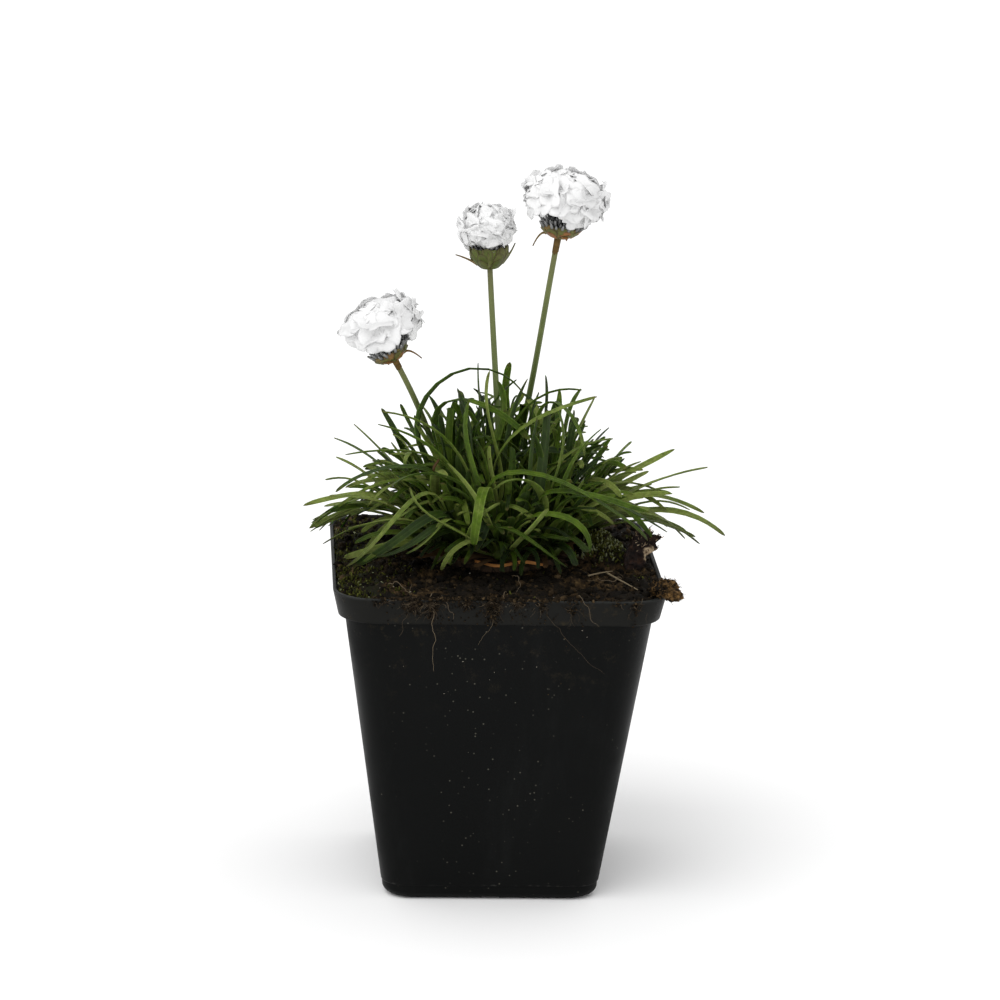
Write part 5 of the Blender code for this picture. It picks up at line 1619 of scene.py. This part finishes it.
def floret_matrix(flower, share, turn, rng):
    """Returns where a floret sits on a head: share runs from the crown down to the lowest florets."""
    middle, across, tall = head_shape(flower)
    rise = 1 - share * (1 - FLORET_LOWEST)
    level = math.sqrt(1 - rise * rise)
    aim = Vector((level * math.cos(turn), level * math.sin(turn), rise))
    reach = -rng.uniform(0.0, FLORET_SINK)
    mouth = Vector((aim.x * (across + reach), aim.y * (across + reach), middle + aim.z * (tall + reach)))
    facing = Vector((aim.x / across, aim.y / across, aim.z / tall)).normalized()
    facing += stray(rng, FLORET_LEAN)
    turned = facing.to_track_quat("Z", "Y").to_matrix().to_4x4()
    return Matrix.Translation(mouth) @ turned @ Matrix.Rotation(rng.uniform(0, 1.2), 4, "Z")


def make_petal(radius, turn, rng):
    """Returns one petal of a floret: a broad wedge from its claw to a notched and finely ruffled edge."""
    bm = new_piece()
    bmesh.ops.create_grid(bm, x_segments=PETAL_STEPS, y_segments=PETAL_STEPS, size=1.0)
    long = radius * rng.uniform(0.85, 1.15)
    wide = radius * rng.uniform(1.25, 1.6)
    waves, phase, ruffle = rng.uniform(1.4, 2.6), rng.uniform(0, 6.28), rng.uniform(0.15, 0.38) * MM
    fine = rng.uniform(0.05, 0.16) * MM
    curl = rng.uniform(-0.1, 1.2) * MM
    notch = rng.uniform(0.04, 0.2)
    swing = Matrix.Rotation(turn + rng.uniform(-0.2, 0.2), 4, "Z")
    for vert in bm.verts:
        across, along = vert.co.x, (vert.co.y + 1) / 2
        end = 1 - notch * max(1 - abs(across) * 2.2, 0) * along ** 3 - 0.2 * across ** 4 * along ** 2
        end += 0.035 * math.sin(7 * across + phase) * along ** 4
        out = long * (0.1 + 0.9 * along ** 1.15 * end)
        breadth = 0.14 + 0.86 * math.sin(min(along / 0.75, 1.0) * math.pi / 2)
        edge = along * along
        up = -FLORET_DEPTH * (1 - along) ** 1.5
        up += ruffle * edge * math.sin(waves * across * math.pi / 2 + phase)
        up += fine * edge * math.sin(9 * across + 2 * phase) - curl * along ** 4
        mark(bm, [vert], along=along, across=across)
        vert.co = swing @ Vector((out, wide / 2 * across * breadth, up))
    return bm


def make_floret_shape(radius, rng, name):
    """Returns a floret of ruffled petals that overlap like a pinwheel."""
    bm = new_piece()
    for index in range(FLORET_PETALS):
        pour(bm, make_petal(radius, index * FULL_TURN / FLORET_PETALS, rng))
    return as_mesh(bm, name)


def is_bare(flower, place, spot):
    """Tells whether a floret is a low one that is missing, which leaves the cup and some calyxes bare."""
    if "bare" not in flower:
        return False
    joint = place.translation
    mouth = place @ spot.translation
    if mouth.z < joint.z + BARE_HEIGHT + flower["slope"] * abs(mouth.x - joint.x):
        return True
    middle, tall = head_shape(flower)[::2]
    local = spot.translation - UPRIGHT * middle
    facing = (place.to_3x3() @ Vector((local.x, local.y, 0))).normalized()
    return local.z / tall < BARE_RISE and facing.dot(Vector(flower["bare"]).normalized()) > BARE_SHARE


def make_head(number, flower):
    """The white petals of a dense head, floret by floret, over its white middle."""
    place = flower_frame(flower)
    finish = petal_finish(f"petal_white_{number}", place @ (UPRIGHT * head_shape(flower)[0]))
    rng = random.Random(SEED + number)
    size = min(FLORET_RADIUS, flower["radius"] * MM * FLORET_SHARE)
    shapes = [make_floret_shape(size * rng.uniform(0.85, 1.15), rng, f"floret_{index}")
              for index in range(FLORET_SHAPES)]
    bm = new_piece()
    middle, across, tall = head_shape(flower)
    core = new_piece()
    bmesh.ops.create_uvsphere(core, u_segments=28, v_segments=18, radius=1.0)
    form = Matrix.Diagonal((across - CORE_DEPTH, across - CORE_DEPTH, tall - CORE_DEPTH, 1.0))
    form = place @ Matrix.Translation((0, 0, middle + CORE_RISE)) @ form
    bmesh.ops.transform(core, matrix=form, verts=core.verts)
    # along of 0.4 gives the white middle part of the petals' painted shade.
    mark(core, core.verts, along=0.4)
    pour(bm, core)
    for index in range(flower["florets"]):
        spot = floret_matrix(flower, (index + 0.5) / flower["florets"], index * GOLDEN_TURN, rng)
        tint = rng.random()
        if not is_bare(flower, place, spot):
            stamp(bm, shapes[index % len(shapes)], place @ spot, tint)
    piece = finish_piece(f"petals_{number}", bm, finish, f"flower_head_{number}")
    wall = piece.modifiers.new("thickness", "SOLIDIFY")
    wall.thickness = PETAL_THICKNESS
    wall.offset = 0.0


def make_calyxes(number, flower, finish):
    """The grey calyx tubes that carry the florets, close together in the cup."""
    place = flower_frame(flower)
    rng = random.Random(SEED + 50 + number)
    half = head_shape(flower)[1]
    cup = flower["cup_radius"] * MM
    bm = new_piece()
    for index in range(CALYX_COUNT):
        share = math.sqrt((index + 0.5) / CALYX_COUNT)
        outward = heading(index * GOLDEN_TURN)
        start = UPRIGHT * flower["cup_height"] * MM * 0.5 + outward * cup * 0.75 * share
        spread = math.radians(8 + 40 * share) + rng.uniform(-0.08, 0.08)
        aim = outward * math.sin(spread) + UPRIGHT * math.cos(spread)
        length = rng.uniform(*CALYX_LENGTH)
        while ((start + aim * length).xy.length / half) ** 2 > 0.5 and length > 2 * MM:
            length *= 0.9
        path = [place @ (start + aim * length * step / 4) for step in range(5)]
        rows = sweep(bm, tube_rings(path, [0.3 * MM, 0.42 * MM, 0.46 * MM, 0.42 * MM, 0.2 * MM], 8))
        for step, row in enumerate(rows):
            mark(bm, row, along=step / 4 * 0.6, tint=rng.random())
    finish_piece(f"calyxes_{number}", bm, finish, crease=60)


# What lies on the soil


def flake_plate():
    """Returns a plate of the flake's outline, in faces small enough to be roughened."""
    bm = new_piece()
    sweep(bm, [[Vector((across * MM, side * FLAKE_THICK / 2, up * MM)) for across, up in FLAKE_OUTLINE]
               for side in (-1, 0, 1)])
    bmesh.ops.triangulate(bm, faces=bm.faces)
    for cuts in (2, 2, 1):
        bmesh.ops.subdivide_edges(bm, edges=[edge for edge in bm.edges if edge.calc_length() > 0.45 * MM],
                                  cuts=cuts, use_grid_fill=True)
        bmesh.ops.triangulate(bm, faces=[face for face in bm.faces if len(face.verts) > 3])
    return bm


def make_bark_flake(surface):
    """The flake of bark: a ragged cupped plate with a torn edge, a pale hollow and stray splinters."""
    rng = random.Random(SEED + 17)
    foot = Matrix.Translation(drop(surface, *FLAKE_PLACE))
    place = foot @ Matrix.Rotation(math.radians(FLAKE_TURN), 4, "Z")
    place = place @ Matrix.Rotation(math.radians(-FLAKE_LEAN), 4, "X")
    bm = flake_plate()
    rims = []
    for vert in bm.verts:
        local = vert.co.copy()
        hollow = (local.xz - Vector(FLAKE_HOLLOW)).length / HOLLOW_RADIUS
        mark(bm, [vert], tint=max(1.45 - hollow, 0.0) * 1.5 + max(local.z / MM - 7.4, 0.0) * 0.24)
        thin = 1 - 0.45 * max(local.z, 0) / (10 * MM)
        bow = 0.09 * (local.x / MM - 1) ** 2 * MM
        local = Vector((local.x, local.y * thin - bow, local.z))
        rough = noise.noise_vector(local / (1.3 * MM)) * 0.55 * MM
        rough += noise.noise_vector(local / (0.45 * MM)) * 0.26 * MM
        vert.co = place @ (local + rough)
        if local.z > 4.5 * MM and local.x > 0 and rng.random() < 0.08:
            rims.append(vert.co.copy())
    rng.shuffle(rims)
    for start in rims[:SPLINTER_COUNT]:
        aim = Vector((rng.uniform(-0.4, 1.0), rng.uniform(-0.8, 0.4), rng.uniform(0.2, 1.0)))
        aim = place.to_3x3() @ aim
        long = rng.uniform(0.4, 1.2) * MM
        points = [start, start + aim * long * 0.5, start + aim * long]
        add_fibre(bm, points, 0.15 * MM, rng.uniform(0.0, 0.95))
    finish_piece("bark_flake_fine", bm, flake_finish(), "bark_flake", 50)


def make_peat_clod():
    """The clod of fibrous peat on the corner of the rim: a crumbly lump bristling with short fibres."""
    low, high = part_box("peat_clod")
    middle = (low + high) / 2
    cad = tree_of(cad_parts["peat_clod"])
    rng = random.Random(SEED + 18)
    bm = new_piece()
    bmesh.ops.create_icosphere(bm, subdivisions=5, radius=12 * MM)
    for vert in bm.verts:
        aim = -vert.co.normalized()
        hit = cad.ray_cast(middle + vert.co, aim)[0]
        vert.co = hit if hit else middle
        deep = noise.noise(vert.co / (1.6 * MM)) * 1.5 + noise.noise(vert.co / (0.6 * MM)) * 0.7 + 0.4
        vert.co += aim * deep * MM
        tint = 0.5 * noise.noise(vert.co / (2.2 * MM)) + 0.06 * (vert.co.x - middle.x) / MM - 1.0
        mark(bm, [vert], tint=tint)
    roots = [vert.co.copy() for vert in bm.verts]
    for index in range(CLOD_FIBRES):
        start = rng.choice(roots)
        aim = ((start - middle).normalized() + stray(rng, 1.6)).normalized()
        long = rng.uniform(0.4, 1.3) * MM
        bend = stray(rng, 0.5) * long
        points = [start - aim * 0.3 * MM, start + aim * long * 0.5 + bend, start + aim * long]
        add_fibre(bm, points, 0.08 * MM, rng.uniform(-1.4, 0.1))
    finish = dry_finish("fibrous_peat", (0.005, 0.0035, 0.002), (0.15, 0.085, 0.03), 3.0)
    finish_piece("fibrous_clod", bm, finish, "peat_clod")


def add_fibre(bm, control, radius, tint, sides=4, steps=7, wave=0.0):
    """Adds a thin tapering fibre along a Bezier curve, which it may wander from."""
    fibre = new_piece()
    path = [point + noise.noise_vector(point / (2.2 * MM)) * wave for point in curve_points(control, steps)]
    radii = [radius * (1 - 0.6 * step / steps) for step in range(steps + 1)]
    sweep(fibre, tube_rings(path, radii, sides))
    mark(fibre, fibre.verts, tint=tint)
    pour(bm, fibre)


def make_dead_leaf():
    """The dead orange leaf in front of the tuft, curled along its length."""
    low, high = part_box("dead_leaf")
    rng = random.Random(SEED + 19)
    bm = new_piece()
    level = high.z + 1.0 * MM
    control = [Vector((low.x + 1.2 * MM, high.y - 0.4 * MM, level)),
               Vector(((low.x + high.x) / 2, low.y - 1.8 * MM, level + 0.6 * MM)),
               Vector((high.x + 1.2 * MM, high.y - 0.6 * MM, level))]
    add_blade(bm, control, DEAD_LEAF_WIDTH, 0.9, rng)
    for vert in bm.verts:
        turn = 9 * (vert.co.x - low.x) / (high.x - low.x)
        vert.co += Vector((0, 0.5 * math.sin(turn + 1), 0.38 * math.cos(turn))) * MM
    finish = dry_finish("dead_leaf", (0.1, 0.034, 0.01), (0.46, 0.2, 0.062))
    finish_piece("dead_leaf_fine", bm, finish, "dead_leaf", 70)


def make_straw(surface):
    """The pale forked straw on the soil."""
    bm = new_piece()
    for start, end, radius in STRAWS:
        first, last = Vector((*start, 0)) * MM, Vector((*end, 0)) * MM
        points = [first, first.lerp(last, 0.5) + Vector((0.6 * MM, 0.5 * MM, 0)), last]
        for point in points:
            point.z = max(drop(surface, point.x, point.y).z, soil_height(point.x, point.y)) + 0.9 * MM
        add_fibre(bm, points, radius * MM, 0.5, 8, 14)
    finish = dry_finish("straw", (0.07, 0.048, 0.026), (0.27, 0.22, 0.14))
    finish_piece("straw_fine", bm, finish, "straw")


def make_fibres(surface):
    """Roots and fibres: chosen ones over the rim, short ones on the soil and tufts down the collar."""
    rng = random.Random(SEED + 21)
    bm = new_piece()
    for *points, radius, tint in RIM_FIBRES:
        add_fibre(bm, [Vector(point) * MM for point in points], radius * MM, tint, 5, 26, 1.0 * MM)
    for index in range(FIBRE_COUNT):
        x, y = rng.uniform(-41, 41) * MM, rng.uniform(-43, 41) * MM
        first = drop(surface, x, y)
        last = drop(surface, x + rng.uniform(-3, 3) * MM, y + rng.uniform(-3, 3) * MM)
        if first and last and apart(x, y, CROWN_CENTRE) > FIBRE_NEAREST:
            crest = first.lerp(last, 0.5) + stray(rng, 0.8) * MM + UPRIGHT * MM
            add_fibre(bm, [first, crest, last], rng.uniform(0.05, 0.12) * MM, rng.random() ** 4)
    for place, hang, spread, count in RIM_TUFTS:
        for index in range(count):
            x = (place + rng.gauss(0, 0.5) * spread) * MM
            fall = abs(rng.gauss(0, 0.5)) * hang * MM
            start = collar_spot(x, fall * 0.6, 0.3 * MM)
            x += rng.gauss(0, 0.45) * spread * MM
            end = collar_spot(x, fall + rng.uniform(-0.4, 1.0) * MM, 0.1 * MM)
            crest = start.lerp(end, 0.5) - Vector((0, rng.uniform(0.3, 1.3) * MM, -0.5 * MM))
            radius = rng.uniform(0.03, 0.08) * MM
            add_fibre(bm, [start, crest, end], radius, 0.55 * rng.random() ** 1.6, wave=0.9 * MM)
    finish = dry_finish("root_fibre", (0.01, 0.006, 0.003), (0.15, 0.115, 0.075))
    finish_piece("root_fibres", bm, finish)


# The stage


def make_camera():
    """The camera: a long lens, a little to the left of the front and above, rolled by a touch."""
    place = Matrix.Translation(CAMERA_TARGET)
    for angle, axis in ((-CAMERA_AZIMUTH, "Z"), (90 - CAMERA_HEIGHT, "X"), (CAMERA_ROLL, "Z")):
        place = place @ Matrix.Rotation(math.radians(angle), 4, axis)
    data = bpy.data.cameras.new("camera")
    data.sensor_width = 36
    data.lens = CAMERA_LENS
    data.clip_start = 0.01
    camera = new_object("camera", data)
    camera.matrix_world = place @ Matrix.Translation((0, 0, CAMERA_DISTANCE))
    bpy.context.scene.camera = camera


def make_light(strength):
    """The main light: soft and even, from far off to the left and above."""
    data = bpy.data.lights.new("key_light", "SUN")
    data.angle = math.radians(LIGHT_SPREAD)
    data.energy = strength
    light = new_object("key_light", data)
    light.rotation_mode = "QUATERNION"
    light.rotation_quaternion = LIGHT_FROM.to_track_quat("Z", "Y")


def make_stage(settings):
    """A pale floor, an even pale surround and a soft light."""
    bm = bmesh.new()
    bmesh.ops.create_grid(bm, x_segments=1, y_segments=1, size=6.0)
    floor = new_object("floor", as_mesh(bm, "floor"))
    finish = Finish("pale_floor", (0.9, 0.9, 0.9), 0.9, 0.0)
    floor.data.materials.append(finish.material)
    world = bpy.context.scene.world = bpy.data.worlds.new("surround")
    world.use_nodes = True
    background = world.node_tree.nodes["Background"]
    background.inputs["Color"].default_value = (1.0, 1.0, 1.0, 1.0)
    background.inputs["Strength"].default_value = settings.surround
    make_light(settings.key)
    bpy.context.scene.view_settings.view_transform = "Standard"


# What a user would change


class ThriftPot(bpy.types.PropertyGroup):
    """Looks of the pot."""

    colour: FloatVectorProperty(name="Colour", description="Colour of the plastic", subtype="COLOR",
                                default=(0.0023, 0.0026, 0.0025), min=0.0, max=1.0)
    dust: FloatProperty(name="Dust", description="How much dust lies on the plastic", subtype="FACTOR",
                        default=0.4, min=0.0, max=1.0)


class ThriftSoil(bpy.types.PropertyGroup):
    """What lies on the peat."""

    crumbs: IntProperty(name="Crumbs", description="Number of loose crumbs", default=4200, min=0, max=8000)
    moss: IntProperty(name="Moss", description="Number of places where moss is tried", default=12000, min=0)


class ThriftPlant(bpy.types.PropertyGroup):
    """How full the tuft is."""

    extra: IntProperty(name="Extra Leaves", description="Leaves added to each rosette of the packed model",
                       default=EXTRA_EACH, min=0, max=60)


class ThriftStage(bpy.types.PropertyGroup):
    """Light of the stage."""

    surround: FloatProperty(name="Surround", description="Strength of the even light from all sides",
                            default=1.0, min=0.0)
    key: FloatProperty(name="Key", description="Strength of the main light", default=1.2, min=0.0)


class THRIFT_OT_pot(bpy.types.Operator):
    """Make the pot"""

    bl_idname = "thrift.pot"
    bl_label = "Pot"

    def execute(self, context):
        make_pot(context.scene.thrift_pot)
        return {"FINISHED"}


class THRIFT_OT_soil(bpy.types.Operator):
    """Make the peat with its crumbs and moss"""

    bl_idname = "thrift.soil"
    bl_label = "Soil"

    def execute(self, context):
        settings = context.scene.thrift_soil
        surface = tree_of(make_soil())
        make_crumbs(surface, settings.crumbs)
        make_moss(surface, settings.moss)
        return {"FINISHED"}


class THRIFT_OT_debris(bpy.types.Operator):
    """Make what lies on the soil: bark, clod, dead leaf, straw and fibres"""

    bl_idname = "thrift.debris"
    bl_label = "Debris"

    def execute(self, context):
        surface = tree_of(bpy.data.objects["peat_ball"])
        make_bark_flake(surface)
        make_peat_clod()
        make_dead_leaf()
        make_straw(surface)
        make_fibres(surface)
        return {"FINISHED"}


class THRIFT_OT_leaves(bpy.types.Operator):
    """Give the rootstock its bark and grow the leaves"""

    bl_idname = "thrift.leaves"
    bl_label = "Leaves"

    def execute(self, context):
        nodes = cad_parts
        nodes["rootstock"].data.materials.clear()
        nodes["rootstock"].data.materials.append(rootstock_finish().material)
        frames = rosette_places()
        stems = [tree_of_rings(stem_rings(flower, frames[flower["rosette"] - 1], STEM_STEPS, 7))
                 for flower in FLOWERS]
        solids = [tree_of(nodes[name]) for name in ("pot", "soil", "rootstock", "bark_flake", "peat_clod",
                                                    "dead_leaf", "straw")]
        finish = leaf_finish()
        leaves = grow_rosettes(stems + solids, context.scene.thrift_plant.extra)
        for number, place in enumerate(frames, 1):
            make_rosette(number, place, leaves[number - 1], finish)
        make_dry_sheaths(frames)
        return {"FINISHED"}


class THRIFT_OT_flowers(bpy.types.Operator):
    """Make the stems, cups and heads of the flowers"""

    bl_idname = "thrift.flowers"
    bl_label = "Flowers"

    def execute(self, context):
        frames = rosette_places()
        green, bract, calyx = stem_finish(), bract_finish(), calyx_finish()
        brown = dry_finish("stem_sheath", (0.055, 0.035, 0.012), (0.17, 0.105, 0.035))
        for number, flower in enumerate(FLOWERS, 1):
            place = frames[flower["rosette"] - 1]
            make_stem(number, flower, place, green)
            if number != 2:
                make_stem_sheath(number, flower, place, brown)
            make_involucre(number, flower, bract)
            make_calyxes(number, flower, calyx)
            make_head(number, flower)
        return {"FINISHED"}


class THRIFT_OT_stage(bpy.types.Operator):
    """Make the floor, the light and the camera"""

    bl_idname = "thrift.stage"
    bl_label = "Stage"

    def execute(self, context):
        make_stage(context.scene.thrift_stage)
        make_camera()
        return {"FINISHED"}


class THRIFT_PT_panel(bpy.types.Panel):
    """Lists the settings and the operators that make the pieces"""

    bl_label = "Sea Thrift"
    bl_space_type = "VIEW_3D"
    bl_region_type = "UI"
    bl_category = "Sea Thrift"

    def draw(self, context):
        layout = self.layout
        for name in SETTINGS:
            group = getattr(context.scene, name)
            for value in group.bl_rna.properties:
                if value.identifier not in ("rna_type", "name"):
                    layout.prop(group, value.identifier)
        for operator in OPERATORS:
            layout.operator(operator.bl_idname)


SETTINGS = {"thrift_pot": ThriftPot, "thrift_soil": ThriftSoil, "thrift_plant": ThriftPlant,
            "thrift_stage": ThriftStage}
OPERATORS = (THRIFT_OT_pot, THRIFT_OT_soil, THRIFT_OT_debris, THRIFT_OT_leaves, THRIFT_OT_flowers,
             THRIFT_OT_stage)


def register():
    """Adds the settings, the operators and the panel to Blender."""
    for made in (*SETTINGS.values(), *OPERATORS, THRIFT_PT_panel):
        bpy.utils.register_class(made)
    for name, group in SETTINGS.items():
        setattr(bpy.types.Scene, name, PointerProperty(type=group))


def unregister():
    """Takes them away again."""
    for name in SETTINGS:
        delattr(bpy.types.Scene, name)
    for made in (THRIFT_PT_panel, *reversed(OPERATORS), *SETTINGS.values()):
        bpy.utils.unregister_class(made)


def main():
    """Makes every piece."""
    register()
    bpy.ops.thrift.stage()
    bpy.ops.thrift.pot()
    bpy.ops.thrift.soil()
    bpy.ops.thrift.debris()
    bpy.ops.thrift.leaves()
    bpy.ops.thrift.flowers()


if __name__ == "__main__":
    main()
